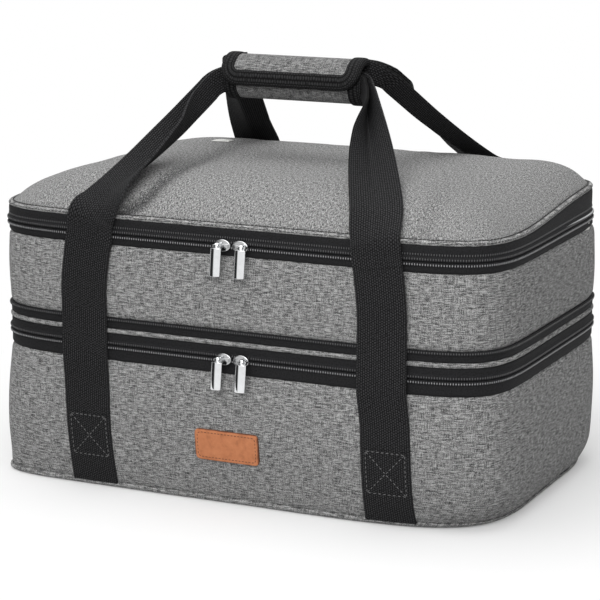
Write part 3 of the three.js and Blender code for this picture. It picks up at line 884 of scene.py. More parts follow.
narrowBand(
    "seamStrip", "seam_strip", "grey", "upper_compartment",
    level["stripBottom"] - 0.3 * mm, level["bandBottom"],
    [(-1.4, 0), (0.2, 0.12), (0.9, 0.4), (0.9, 0.65), (0.2, 0.9), (-1.4, 1)],
)
narrowBand(
    "expansionTape", "expansion_zip_tape", "tape", "upper_compartment",
    level["bandBottom"] - 0.2 * mm, level["bandTop"] + 0.2 * mm,
    [(-1.2, 0), (0, 0.1), (0.2, 0.4), (0.3, 0.62), (1.3, 0.72), (1.4, 0.85), (0.6, 0.97), (-1.4, 1)],
)
bandCoil = level["bandBottom"] + 0.87 * (level["bandTop"] - level["bandBottom"])
seamRow("expansionCoil", "coil", "paintedShadeTeeth", "upper_compartment", bandCoil, 1.3 * mm)


# Cloth hinges across the back, where the zips stop
hingeLook = {"reach": hingeShare * 1.015, "bend": 7.5 * mm, "columns": 90, "rows": 24, "thickness": 1.0 * mm}


def hingeCloth(name, nodes, bottom, slit, top):
    profile = lineProfile([
        (-1.0 * mm, bottom - 0.5 * mm), (0.5 * mm, bottom + 1.2 * mm), (0.9 * mm, bottom + 5 * mm),
        (0.75 * mm, slit), (0.9 * mm, top - 5 * mm), (0.5 * mm, top - 1.2 * mm), (-1.0 * mm, top + 0.5 * mm),
    ])
    reach, bend, back = hingeLook["reach"], hingeLook["bend"], body["halfDepth"]
    strip = bandAround(
        name, hingeLook["columns"], hingeLook["rows"], profile, -reach, reach, hingeLook["thickness"]
    )
    dress(strip, "grey", None, *nodes)
    slit - bend
    slit + bend
    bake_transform(strip)
    2 * reach * perimeter
    top - bottom


hingeCloth(
    "lowerHingeCloth", ["lower_hinge_bottom_strip", "lower_hinge_top_strip"],
    level["lowerSeam"], level["lowerSlit"], level["stripBottom"],
)
hingeCloth(
    "lidHingeCloth", ["lid_hinge_bottom_strip", "lid_hinge_top_strip"],
    level["upperSeam"], level["lidSlit"], level["lidSeam"],
)
print("zips, bands and hinges made")


# Lid: a welt, then a crowned padded panel that the cloth simulation fills out
lidLook = {
    "inset": 2.6 * mm, "leftPower": 6.0, "rightPower": 7.3, "frontPower": 7.0, "columns": 84, "rows": 56,
    "sidesFrom": 0.25, "sidesTo": 0.95, "belowWelt": 0.8 * mm, "pinned": 0.96, "mostMove": 0.9 * mm,
    "thickness": 1.4 * mm, "frames": 20,
}
lidCloth = {
    "quality": 6, "vertex_group_mass": "sewn", "use_pressure": True, "uniform_pressure_force": 1.2,
    "tension_stiffness": 12, "compression_stiffness": 12, "bending_stiffness": 1.5, "shrink_min": -0.012,
}
lidEdge = level["weltTop"] - lidLook["belowWelt"]
lidCrown = level["lidTop"] - lidEdge


# The crown is boxier towards the right end and eases off towards the left and the front
def lidRise(reach, outward):
    sideways = np.where(outward[:, 0] > 0, lidLook["rightPower"], lidLook["leftPower"])
    share = ease(np.abs(outward[:, 0]), lidLook["sidesFrom"], lidLook["sidesTo"])
    power = lidLook["frontPower"] + (sideways - lidLook["frontPower"]) * share
    return lidCrown * (1 - reach**power)


def lidReach(spot):
    power = body["cornerPower"]
    return (np.abs(spot / (halfSize - lidLook["inset"])) ** power).sum(axis=1) ** (1 / power)


def lidHeightAt(x, y):
    spot = np.column_stack([np.atleast_1d(x), np.atleast_1d(y)])
    return lidEdge + lidRise(lidReach(spot), outwardAt(spot))


def lidRing(reach, outward, share):
    edge = np.full_like(reach, lidLook["inset"])
    return reach, edge, lidEdge + lidRise(reach, outward)


# Soft creases that run back across the lid from beside each strap's foot, and how they fade on the way: each
# dents the panel and darkens the cloth along it with painted shade
creaseFade = {"depth": 0.6, "shade": 0.75, "spreadFrom": 0.6, "spreadBy": 1.3}
lidCreases = [
    {
        "path": [(-86, -128), (-71, -118), (-65, -95), (-64, -59), (-71, -2), (-78, 55)],
        "depth": 2.2 * mm, "width": 6 * mm, "shade": 1.25,
    },
    {"path": [(150, -122), (146, -80), (140, -30)], "depth": 1.3 * mm, "width": 9 * mm, "shade": 0.2},
]


def creaseLid(piece):
    places = vertexPlaces(piece)
    fold = np.zeros(len(places))
    for crease in lidCreases:
        share = np.linspace(0, 1, 80)
        line = smoothLine([(x * mm, y * mm) for x, y in crease["path"]])(share)
        away = np.linalg.norm(places[:, None, :2] - line[None], axis=2)
        along, away = share[away.argmin(axis=1)], away.min(axis=1)
        depth = crease["depth"] * (1 - creaseFade["depth"] * along)
        places[:, 2] -= depth * np.exp(-((away / crease["width"]) ** 2))
        # The stored fold value is painted shade: it darkens the cloth along each crease and fades towards the
        # back
        spread = crease["width"] * (creaseFade["spreadFrom"] + creaseFade["spreadBy"] * along)
        fold += crease["shade"] * (1 - creaseFade["shade"] * along) * np.exp(-((away / spread) ** 2))
    setPlaces(piece, places)
    piece.data.attributes.new("fold", "FLOAT", "POINT").data.foreach_set("value", fold)


# The cloth unrolled: each point slides out by how far it has dropped from the crown
def lidFlat(places):
    spot = plan(places)
    return spot + outwardAt(spot) * (level["lidTop"] - places[:, 2:3])


# The simulation presses the panel out between its sewn edges, and no point moves past the limit
def fillOut(piece, pinned):
    rest = vertexPlaces(piece)
    group = piece.vertex_groups.new(name=lidCloth["vertex_group_mass"])
    group.add([int(i) for i in np.flatnonzero(pinned)], 1.0, "REPLACE")
    choose(piece)
    bpy.ops.object.modifier_add(type="CLOTH")
    cloth = piece.modifiers[-1]
    for key, value in lidCloth.items():
        setattr(cloth.settings, key, value)
    cloth.settings.effector_weights.gravity = 0
    cloth.point_cache.frame_start = 1
    cloth.point_cache.frame_end = lidLook["frames"]
    for step in range(1, lidLook["frames"] + 1):
        bpy.context.scene.frame_set(step)
    bpy.ops.object.modifier_apply(modifier=cloth.name)
    bpy.context.scene.frame_set(1)
    move = vertexPlaces(piece) - rest
    move[:, 2] = np.clip(move[:, 2], 0, None)
    size = np.linalg.norm(move, axis=1, keepdims=True)
    setPlaces(piece, rest + move * np.minimum(1, lidLook["mostMove"] / np.maximum(size, 1e-9)))
    piece.vertex_groups.clear()


lidPanel = dishSheet("lidPanel", lidLook["columns"], lidLook["rows"], lidRing, lidFlat)
fillOut(lidPanel, lidReach(plan(vertexPlaces(lidPanel))) > lidLook["pinned"])
setFlat(lidPanel, lidFlat(vertexPlaces(lidPanel))[:, ::-1])
modify(lidPanel, "SUBSURF", levels=1, render_levels=1)
creaseLid(lidPanel)
makeSolid(lidPanel, lidLook["thickness"])
dress(lidPanel, "lidGrey", "lid", "lid_panel")
narrowBand(
    "lidWelt", "lid_welt", "grey", "lid", level["lidSeam"] - 0.4 * mm, level["weltTop"] + 0.3 * mm,
    [(-2.0, 0), (-0.3, 0.08), (0.1, 0.4), (-0.2, 0.75), (-1.4, 0.97), (-2.6, 0.9), (-4.2, 0.55)],
)
# The stitches along the seam between welt and panel also draw the groove's dark line: partly real thread,
# partly painted shade
seamRow("lidSeamStitches", "lid", "darkThreadAndSeamShade", "lid", level["weltTop"] + 0.5 * mm, -3.3 * mm, tilt=0.8)
seamRow("weltStitches", "lid", "darkThreadAndSeamShade", "lid", level["weltTop"] - 1.3 * mm, -0.1 * mm, tilt=0.8)
print("lid made")


# Silver linings: a floor, a rounded edge, walls, and a rim folded out over the foam
liningLook = {
    "inset": 8.8 * mm, "rimInset": 1.6 * mm, "corner": 9 * mm, "thickness": 0.8 * mm, "pucker": 0.6 * mm,
    "belowFoam": 1.4 * mm, "insideFoam": 3.0 * mm, "sideInset": 3.2 * mm, "sideDrawIn": 12 * mm,
    "cornerDrawIn": 16 * mm, "floorTo": 0.8, "cornerTo": 0.86, "wallTo": 0.97, "lidFoldFrom": 0.95,
    "aboveSlit": 1.5 * mm,
}


def finishLining(lining, node, liningBody):
    makeSolid(lining, liningLook["thickness"], even=False)
    dress(lining, "foil", liningBody, node)


def tub(deck):
    corner, floorTo = liningLook["corner"], liningLook["floorTo"]
    cornerTo, wallTo = liningLook["cornerTo"], liningLook["wallTo"]
    floor, rim = low(deck + "_lining").z + liningLook["thickness"], high(deck + "_lining").z

    def ring(reach, outward, share):
        turn = ease(reach, floorTo, cornerTo) * np.pi / 2
        wall = np.clip((reach - cornerTo) / (wallTo - cornerTo), 0, 1)
        fold = np.clip((reach - wallTo) / (1 - wallTo), 0, 1)
        height = floor + corner * (1 - np.cos(turn)) + (rim - floor - corner) * wall
        x, y = np.abs(outward.T)
        drawn = liningLook["sideDrawIn"] * x + liningLook["cornerDrawIn"] * x * y
        inset = liningLook["inset"] + liningLook["sideInset"] * x + drawn * towards(height, "drawInHeight")
        inset = inset + corner * (1 - np.sin(turn))
        inset = inset + (liningLook["rimInset"] - inset) * fold
        pucker = ripple(share, height, liningLook["pucker"], 3.3) * np.sin(np.pi * wall)
        return np.minimum(reach / floorTo, 1), inset + pucker, height

    finishLining(dishSheet(deck + "Lining", 104, 72, ring), deck + "_lining", deck + "_compartment")


tub("lower")
tub("upper")


def lidLiningRing(reach, outward, share):
    depth = high("lid_panel").z - high("lid_lining").z + liningLook["belowFoam"]
    foldFrom = liningLook["lidFoldFrom"]
    dome = np.minimum(reach / foldFrom, 1)
    fold = np.clip((reach - foldFrom) / (1 - foldFrom), 0, 1)
    inside = liningLook["insideFoam"] + liningLook["sideInset"] * np.abs(outward[:, 0])
    inset = lidLook["inset"] + (depth + inside) * (1 - fold) - liningLook["rimInset"] * fold
    crown = (level["lidTop"] - level["lidSeam"]) * (1 - dome ** lidLook["frontPower"])
    height = np.maximum(level["lidSeam"] + crown - depth, level["lidSlit"] + liningLook["aboveSlit"])
    return dome, inset, height


lidLining = dishSheet("lidLining", 84, 56, lidLiningRing, lifted=False)
editAll(lidLining, lambda: bpy.ops.mesh.flip_normals())
finishLining(lidLining, "lid_lining", "lid")
print("linings made")


# Webbing: one route from the base seam up the wall, over the lid's shoulder and into the grip
strapLook = {
    "width": 38 * mm, "thickness": 1.7 * mm, "edge": (0.45 * mm, 2), "onWall": 1.3 * mm,
    "overZips": high("back_strap_left_riser").y - 1 * mm, "sewnTop": high("front_strap_left_sewn_end").z,
    "slantBelow": 70 * mm, "leanFrom": 150 * mm, "hugBelow": (55 * mm, 80 * mm), "creaseRound": 5 * mm,
    "shoulders": (0.965, 0.88), "stands": (3.5 * mm, 2.4 * mm), "inGrip": 14 * mm, "bend": 18 * mm,
    "columns": 24, "lowerCut": level["lowerSlit"] - 9 * mm, "lidCut": level["lidSlit"] - 7 * mm,
    "crossInset": 4 * mm, "crossBottom": 26 * mm, "crossBelowTop": 2 * mm, "leanPower": 1.5,
    "wallStops": (20 * mm, 40 * mm, 60 * mm, 80 * mm), "zipStops": (160 * mm, 185 * mm),
    "legStops": (0.3, 0.6, 0.82, 0.94), "entryDepth": 10 * mm,
}
strapSides = {
    "left": {"x": -1, "slant": 0, "leanOnWall": 7.5 * mm},
    "right": {"x": 1, "slant": 2.2 * mm, "leanOnWall": 5.5 * mm},
}
strapFaces = {
    "front": {
        "y": -1, "entryRise": -12.5 * mm, "entryGap": 4.5 * mm, "sewnCut": strapLook["sewnTop"],
        "riserBody": "front_risers", "legBody": "front_loop", "legBend": level["lidSlit"],
    },
    "back": {
        "y": 1, "entryRise": -4 * mm, "entryGap": 7 * mm, "sewnCut": strapLook["lowerCut"],
        "riserBody": "upper_compartment", "legBody": "back_loop", "legBend": strapLook["lidCut"],
    },
}
# Each leg's lean on the lid, its sag and twist, and how many degrees it has folded at shares of its length
strapLegs = {
    "frontLeft": {
        "leans": (13 * mm, 20 * mm), "sag": 4.5 * mm, "twist": 0.8,
        "shares": (0, 0.1, 0.2, 0.35, 0.5, 0.65, 0.76, 0.84, 0.93, 1),
        "paintedShadeAttribute": (0, 18, 36, 60, 84, 110, 140, 160, 170, 174),
    },
    "frontRight": {
        "leans": (8 * mm, 13 * mm), "sag": 0, "twist": 0.8,
        "shares": (0, 0.2, 0.4, 0.52, 0.65, 0.76, 0.84, 0.93, 1),
        "paintedShadeAttribute": (0, 22, 52, 74, 105, 140, 162, 172, 174),
    },
    "backLeft": {
        "leans": (13 * mm, 20 * mm), "sag": 0, "twist": 0.8,
        "shares": (0, 0.5, 0.8, 1), "paintedShadeAttribute": (0, 30, 70, 172),
    },
    "backRight": {
        "leans": (13 * mm, 25 * mm), "sag": 3 * mm, "twist": 0.35,
        "shares": (0, 0.3, 0.5, 0.7, 0.85, 1), "paintedShadeAttribute": (0, 26, 52, 90, 145, 172),
    },
}
gripMiddle, gripEnd = middleOf("grip_pad").x, halfOf("grip_pad").x


def strapRoute(sideName, side, face, leg):
    x = middleOf(f"front_strap_{sideName}_riser").x
    sideX, sideY = side["x"], face["y"]

    def onWall(height):
        astray = x + side["slant"] * (1 - ease(height, strapLook["slantBelow"], level["lowerSeam"]))
        stand = wallDepth(astray, height, sideY) + strapLook["onWall"]
        return (astray, sideY * stand, height), (0, sideY, 0)

    def overZips(height):
        share = ease(height, strapLook["leanFrom"], level["weltTop"]) ** strapLook["leanPower"]
        leaning = x - sideX * share * side["leanOnWall"]
        return (leaning, sideY * strapLook["overZips"], height), (0, sideY, 0)

    def shoulder(reach, stand, lean):
        leaning = x - sideX * lean
        y = sideY * reach * (body["halfDepth"] - lidLook["inset"])
        here = lidHeightAt(leaning, y)[0]
        further = lidHeightAt(leaning, y + sideY * 1 * mm)[0]
        out = np.array([0, sideY * (here - further) / mm, 1.0])
        out = out / np.linalg.norm(out)
        return tuple(np.array([leaning, y, here]) + out * stand), tuple(out)

    end = gripMiddle + sideX * gripEnd
    crease = level["gripMiddle"] + face["entryRise"]
    route = [onWall(height) for height in (level["pipingTop"] - 0.5 * mm, *strapLook["wallStops"])]
    heights = [level["lowerSeam"] - 1 * mm, level["lowerSlit"], level["bandTop"], *strapLook["zipStops"]]
    route += [overZips(height) for height in heights + [level["lidSlit"], level["weltTop"] - 2 * mm]]
    route += [shoulder(*place) for place in zip(strapLook["shoulders"], strapLook["stands"], leg["leans"])]
    last, twist = np.array(route[-1][0]), leg["twist"]
    entry = np.array([end + sideX * face["entryGap"], sideY * strapLook["entryDepth"], crease])
    for share in strapLook["legStops"]:
        out = (-sideX * twist * share, sideY * 0.55, 0.85 - 0.8 * twist * share)
        drop = np.array([0, 0, leg["sag"] * math.sin(math.pi * share)])
        route.append((tuple(last + (entry - last) * share - drop), out))
    route.append((tuple(entry), (-sideX * twist, sideY * 0.65, 0.8 - 0.8 * twist)))
    route.append(((end - sideX * 2 * mm, sideY * 5 * mm, crease + 3 * mm), (-sideX * 0.2, sideY, 0)))
    route.append(((end - sideX * 10 * mm, sideY * 3.5 * mm, crease + 4 * mm), (0, sideY, 0)))
    share = np.linspace(0, 1, 3000)
    line = smoothLine([spot for spot, out in route])(share)
    outs = unit(smoothLine([out for spot, out in route])(share))
    return line, outs, lengthAlong(line)


# How far along its route a strap reaches a height on its way up
def routeAt(route, height):
    line, outs, distance = route
    rising = slice(0, 7 * len(line) // 10)
    return float(np.interp(height, line[rising, 2], distance[rising]))


# Past the lid the inner half of the webbing swings over until the strap lies folded in half
def strapPiece(name, route, leg, outerSign, start, stop, rows):
    line, outs, distance = route
    shoulderAt = routeAt(route, level["weltTop"])
    legLength = distance[-1] - strapLook["inGrip"] - shoulderAt

    def place(across, along):
        here = start + (stop - start) * along
        spots = spotsAt(here, distance, line)
        forward = directionAt(here, distance, line, 0.5 * mm)
        out = spotsAt(here, distance, outs)
        out = unit(out - forward * (out * forward).sum(axis=1, keepdims=True))
        side = np.cross(forward, out) * outerSign
        share = np.clip((here - shoulderAt) / legLength, 0, 1)
        fold = np.maximum(np.radians(np.interp(share, leg["shares"], leg["paintedShadeAttribute"])), 1e-4)
        offset = (across - 0.5) * strapLook["width"] * outerSign
        crease = strapLook["creaseRound"]
        past = crease / 2 - offset
        radius = crease / fold
        turned = np.clip(past / crease, 0, 1) * fold
        straight = np.maximum(past - crease, 0)
        swung = crease / 2 - radius * np.sin(turned) - straight * np.cos(fold)
        sideways = np.where(past < 0, offset, swung)
        lift = np.where(past < 0, 0, radius * (1 - np.cos(turned)) + straight * np.sin(fold))
        places = spots + side * sideways[:, None] + out * lift[:, None]
        sewn = spots[:, 2] < level["lowerSeam"]
        height = np.clip(places[:, 2], 0, level["lowerSeam"])
        face = np.sign(spots[:, 1])
        fall = wallDepth(spots[:, 0], height, face) - wallDepth(places[:, 0], height, face)
        hug = fall * (1 - ease(height, *strapLook["hugBelow"]))
        places[sewn, 1] = places[sewn, 1] - np.sign(places[sewn, 1]) * hug[sewn]
        return places

    def flat(across, along):
        return np.column_stack([across * strapLook["width"], start + (stop - start) * along])

    piece = gridSheet(name, strapLook["columns"], rows, place, flat)
    makeSolid(piece, strapLook["thickness"], 0.0, False, strapLook["edge"], 40)
    return piece


# A box of stitches with a cross in it, sewn through the webbing's lower end
def boxedCross(name, route, sideY):
    line, outs, distance = route
    wall = slice(0, len(line) // 3)
    half = strapLook["width"] / 2 - strapLook["crossInset"]
    bottom, top = strapLook["crossBottom"], strapLook["sewnTop"] - strapLook["crossBelowTop"]
    corners = {"a": (-half, bottom), "b": (half, bottom), "c": (half, top), "d": (-half, top)}
    share = np.linspace(0, 1, 40)
    rows = []
    for first, second in ("ab", "bc", "cd", "da", "ac", "db"):
        (fromX, fromZ), (toX, toZ) = corners[first], corners[second]
        height = fromZ + (toZ - fromZ) * share
        middle = np.interp(height, line[wall, 2], line[wall, 0])
        x = middle + fromX + (toX - fromX) * share
        y = np.interp(height, line[wall, 2], line[wall, 1]) + sideY * (strapLook["thickness"] / 2)
        y = y + sideY * (wallDepth(x, height, sideY) - wallDepth(middle, height, sideY))
        out = np.tile([0.0, sideY, 0.0], (len(share), 1))
        rows.append(stitchLine(name, np.column_stack([x, y, height]), out, "strap"))
    return join(rows, name)


def bendOver(piece, height):
    bend = strapLook["bend"]
    height + bend
    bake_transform(piece)


# Each strap is cut into three pieces, with their nodes, bodies and rows
strapParts = (
    ("Sewn", "_sewn_end", "lower_compartment", 30), ("Riser", "_riser", None, 50), ("Leg", "_leg", None, 90),
)
for sideName, side in strapSides.items():
    for faceName, face in strapFaces.items():
        corner = f"{faceName}{sideName.capitalize()}"
        title, stem = corner + "Strap", f"{faceName}_strap_{sideName}"
        route = strapRoute(sideName, side, face, strapLegs[corner])
        cuts = [0, routeAt(route, face["sewnCut"]), routeAt(route, strapLook["lidCut"]), route[2][-1]]
        pieces = []
        for (part, node, partBody, rows), start, stop in zip(strapParts, cuts, cuts[1:]):
            outerSign = -side["x"] * face["y"]
            piece = strapPiece(title + part, route, strapLegs[corner], outerSign, start, stop, rows)
            pieces.append(dress(piece, "webbing", partBody, stem + node))
        bendOver(pieces[1], face["sewnCut"])
        bendOver(pieces[2], face["legBend"])
        dress(boxedCross(title + "Stitches", route, face["y"]), "paleThread", "lower_compartment")
print("webbing made")


# Grip: a padded strip rolled round both runs, closed by a bound flap; its turns are in degrees
gripLook = {
    "start": 150.0, "flap": 420.0, "end": 548.0, "core": 8.5 * mm, "growth": 5.6 * mm, "pad": 3.5 * mm,
    "tall": 1.1, "corner": 14 * mm, "wrapThickness": 3.3 * mm, "wrapRadius": 16 * mm,
    "flapThickness": 3.2 * mm, "flapRadius": 18.2 * mm, "flapEdge": (0.9 * mm, 3), "flapLift": 0.3 * mm,
    "bend": 10 * mm,
}
flapPerDegree = math.radians(1) * gripLook["flapRadius"]
flapLength = (gripLook["end"] - gripLook["flap"]) * flapPerDegree


def gripSpot(x, turn, depth):
    grown = gripLook["growth"] * (turn - gripLook["start"]) / 360
    radius = gripLook["core"] + grown + gripLook["pad"] + depth
    angle = np.radians(turn)
    height = level["gripMiddle"] + gripLook["tall"] * radius * np.sin(angle)
    return np.column_stack([gripMiddle + x, radius * np.cos(angle), height])


def rollSheet(name, fromTurn, toTurn, half, depth, thickness, columns, rows):
    def place(across, along):
        return gripSpot(half - 2 * half * across, fromTurn + (toTurn - fromTurn) * along, depth)

    length = math.radians(toTurn - fromTurn) * gripLook["wrapRadius"]
    sheet = gridSheet(name, columns, rows, place, (2 * half, length))
    makeSolid(sheet, thickness, bevel=(0.3 * thickness, 3), angle=50)
    return sheet


wrap = rollSheet(
    "gripWrap", gripLook["start"], gripLook["flap"], gripEnd, 0, gripLook["wrapThickness"], 48, 54
)
dress(wrap, "gripPaintedShadeGrey", "back_loop", "grip_pad")


def flapSpot(x, distance, depth):
    return gripSpot(x, gripLook["flap"] + distance / flapPerDegree, depth)


def flapPlace(across, along):
    distance, corner = along * flapLength, gripLook["corner"]
    into = np.clip(distance - (flapLength - corner), 0, corner)
    halfWidth = gripEnd - corner + np.sqrt(np.maximum(corner**2 - into**2, 0))
    return flapSpot(-(2 * across - 1) * halfWidth, distance, gripLook["flapLift"])


flap = gridSheet("gripFlap", 48, 36, flapPlace, (2 * gripEnd, flapLength))
mergeSeams(flap)
makeSolid(flap, gripLook["flapThickness"], bevel=gripLook["flapEdge"], angle=50)
dress(flap, "gripPaintedShadeGrey", None, "grip_flap")


# Bindings fold over an edge: sections give inset and depth in mm from the inner side to the outer
bindingLook = {
    "width": 22 * mm, "thickness": 0.7 * mm, "endLength": 75 * mm,
    "flapSection": [
        (6, -4.0), (2.5, -4.1), (0.3, -3.4), (-0.5, -1.6), (0.3, 0.3), (2.5, 0.85), (8.3, 0.8), (9.8, 0.2),
    ],
    "endSection": [
        (7, -4.0), (2.5, -4.0), (-0.2, -3.6), (-0.9, -1.7), (-0.2, 0.35), (2.5, 0.7), (8.8, 0.7), (9.8, 0.1),
    ],
}


# Down one end of the flap, round a corner, across the front, round the other corner and back
def flapBinding():
    corner = gripLook["corner"]
    straight, front = flapLength - corner, 2 * (gripEnd - corner)
    arc = corner * math.pi / 2
    total = 2 * straight + 2 * arc + front
    section = smoothLine(np.array(bindingLook["flapSection"]) * mm)

    def edgeAt(distance):
        first = np.clip(distance, 0, straight)
        turn = np.clip(distance - straight, 0, arc) / corner
        across = np.clip(distance - straight - arc, 0, front)
        turnBack = np.clip(distance - straight - arc - front, 0, arc) / corner
        back = np.clip(distance - straight - 2 * arc - front, 0, straight)
        x = -gripEnd + corner * (1 - np.cos(turn)) + across + corner * np.sin(turnBack)
        y = first + corner * np.sin(turn) - corner * (1 - np.cos(turnBack)) - back
        angle = turn + turnBack
        return x, y, np.cos(angle), -np.sin(angle)

    def place(across, along):
        x, y, inX, inY = edgeAt(along * total)
        inset, depth = section(across).T
        return flapSpot(x + inX * inset, np.maximum(y + inY * inset, 0), depth)

    binding = gridSheet("flapBinding", 28, 150, place, (bindingLook["width"], total))
    makeSolid(binding, bindingLook["thickness"])
    return binding


binding = flapBinding()
dress(binding, "binding", None, "flap_binding_left", "flap_binding_right", "flap_binding_edge")
middle = np.array([0.0])
hingeSpot = flapSpot(middle, np.array([0.0]), 0.0)[0]
bendSpot = flapSpot(middle, np.array([gripLook["bend"]]), 0.0)[0]
for piece in (flap, binding):
    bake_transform(piece)


def endBinding(sideName, side):
    section = smoothLine(np.array(bindingLook["endSection"]) * mm)

    def place(across, along):
        inset, depth = section(across if side > 0 else 1 - across).T
        turn = gripLook["start"] + (gripLook["flap"] - gripLook["start"]) * along
        return gripSpot(side * (gripEnd - inset), turn, depth)

    flat = (bindingLook["width"], bindingLook["endLength"])
    edge = gridSheet(f"gripBinding{sideName.capitalize()}", 24, 60, place, flat)
    editAll(edge, lambda: bpy.ops.mesh.normals_make_consistent(inside=False))
    makeSolid(edge, bindingLook["thickness"], 0.0)
    dress(edge, "binding", "back_loop", f"grip_binding_{sideName}")


endBinding("left", -1)
endBinding("right", 1)

# Hook and loop strips that close the flap on the wrap, one turn apart
closure = {"from": 155.0, "to": 188.0, "half": 40 * mm, "thickness": 0.6 * mm}
strips = (
    ("gripLoopStrip", "grip_loop_strip", "back_loop", 0, 0.9 * mm),
    ("flapHookStrip", "flap_hook_strip", "flap", 360, -3.5 * mm),
)
for name, node, stripBody, turn, depth in strips:
    strip = rollSheet(
        name, closure["from"] + turn, closure["to"] + turn, closure["half"], depth,
        closure["thickness"], 30, 8,
    )
    dress(strip, "hooks", stripBody, node)
print("grip made")


# Leather patch: a plate with round corners, pressed onto the leaning wall
patchLook = {
    "width": 52 * mm, "height": 24 * mm, "thickness": 1.9 * mm, "corner": 4 * mm, "edge": (0.55 * mm, 3),
    "stitchInset": 2.4 * mm, "stitchCorner": 3 * mm,
}
patchSize = np.array([patchLook["width"], patchLook["height"]])


# Places in the patch's own plane, carried onto the wall
def patchOnWall(flat):
    x, height = flat[:, 0], patchCentre.z + flat[:, 1]
    y = -wallDepth(x, height) - wallLook["swell"] - patchLook["thickness"]
    return np.column_stack([x, y, height])


def leatherPatch():
    grid = bpy.ops.mesh.primitive_grid_add
    patch = added(grid, "leatherPatch", x_subdivisions=26, y_subdivisions=12, size=1)
    flat = plan(vertexPlaces(patch)) * patchSize
    corner, inner = patchLook["corner"], patchSize / 2 - patchLook["corner"]
    into = np.clip(np.abs(flat) - inner, 0, corner)
    reach = np.linalg.norm(into, axis=1, keepdims=True)
    square = into.max(axis=1, keepdims=True)
    rounded = np.where(reach > 1e-9, into * square / np.maximum(reach, 1e-9), into)
    flat = np.sign(flat) * (np.minimum(np.abs(flat), inner) + rounded)
    setPlaces(patch, patchOnWall(flat))
    makeSolid(patch, patchLook["thickness"], bevel=patchLook["edge"], angle=40)
    dress(patch, "leather", "lower_compartment", "leather_patch")


def patchStitches():
    corner = patchLook["stitchCorner"]
    halfX, halfZ = patchSize / 2 - patchLook["stitchInset"] - corner
    outline = []
    for middleX, middleZ, turn in ((1, 1, 0), (-1, 1, 90), (-1, -1, 180), (1, -1, 270)):
        angle = np.radians(np.linspace(turn, turn + 90, 8))
        across, up = middleX * halfX + corner * np.cos(angle), middleZ * halfZ + corner * np.sin(angle)
        outline.append(np.column_stack([across, up]))
    outline = np.vstack([*outline, outline[0][:1]])
    out = np.tile([0.0, -1.0, 0.0], (len(outline), 1))
    row = stitchLine("patchStitches", patchOnWall(outline), out, "patch")
    dress(row, "tanThread", "lower_compartment")


leatherPatch()
patchStitches()


# White ribbon folded under at both ends, lying on the lid's slope
tabLook = {
    "flat": (18 * mm, 10 * mm), "fill": (0.97, 0.93), "stand": 1.4 * mm, "arch": 0.9 * mm,
    "thickness": 0.7 * mm, "edge": (0.2 * mm, 2),
}


def ribbonTab():
    middle, half = middleOf("lid_tab"), halfOf("lid_tab")

    def place(across, along):
        x = middle.x + (2 * across - 1) * half.x * tabLook["fill"][0]
        y = middle.y + (2 * along - 1) * half.y * tabLook["fill"][1]
        arch = tabLook["arch"] * np.sin(np.pi * across) * np.sin(np.pi * along)
        return np.column_stack([x, y, lidHeightAt(x, y) + tabLook["stand"] + arch])

    tab = gridSheet("lidTab", 18, 10, place, tabLook["flat"])
    makeSolid(tab, tabLook["thickness"], 0.0, bevel=tabLook["edge"], angle=40)
    dress(tab, "ribbon", "lid", "lid_tab")


ribbonTab()


# Zip hardware: an oval slider with a raised bridge, and a pull that hangs on it
sliderLook = {
    "fillX": 0.94, "fillZ": 0.88, "rim": 0.8 * mm, "plate": 3.0 * mm, "bridge": 1.3 * mm, "tall": 1.8 * mm,
    "legApart": 2.75 * mm, "legSunk": 1 * mm, "legEdge": 0.35 * mm, "barWidth": 6.8 * mm, "barEdge": 0.4 * mm,
    "spine": (1.1, 1.2 * mm, 0.7), "spineAside": 1.5 * mm, "spineRise": 0.2 * mm, "spineEdge": 0.5 * mm,
}
pullLook = {
    "width": 8.6 * mm, "thickness": 1.7 * mm, "top": 1.2 * mm, "hang": 4.0, "bulges": (0.62, 0.3),
    "eyeRadius": 2.05 * mm, "eyeWire": 0.55 * mm, "eyeWidth": 2.8, "edge": 0.5 * mm, "behind": 0.5 * mm,
}


def addBox(size, centre, bevel):
    box = added(bpy.ops.mesh.primitive_cube_add, "box", size=1)
    editAll(
        box, lambda: bpy.ops.transform.resize(value=size), lambda: bpy.ops.transform.translate(value=centre),
        lambda: bpy.ops.mesh.bevel(offset=bevel, segments=3, affect="EDGES"),
    )
    return box


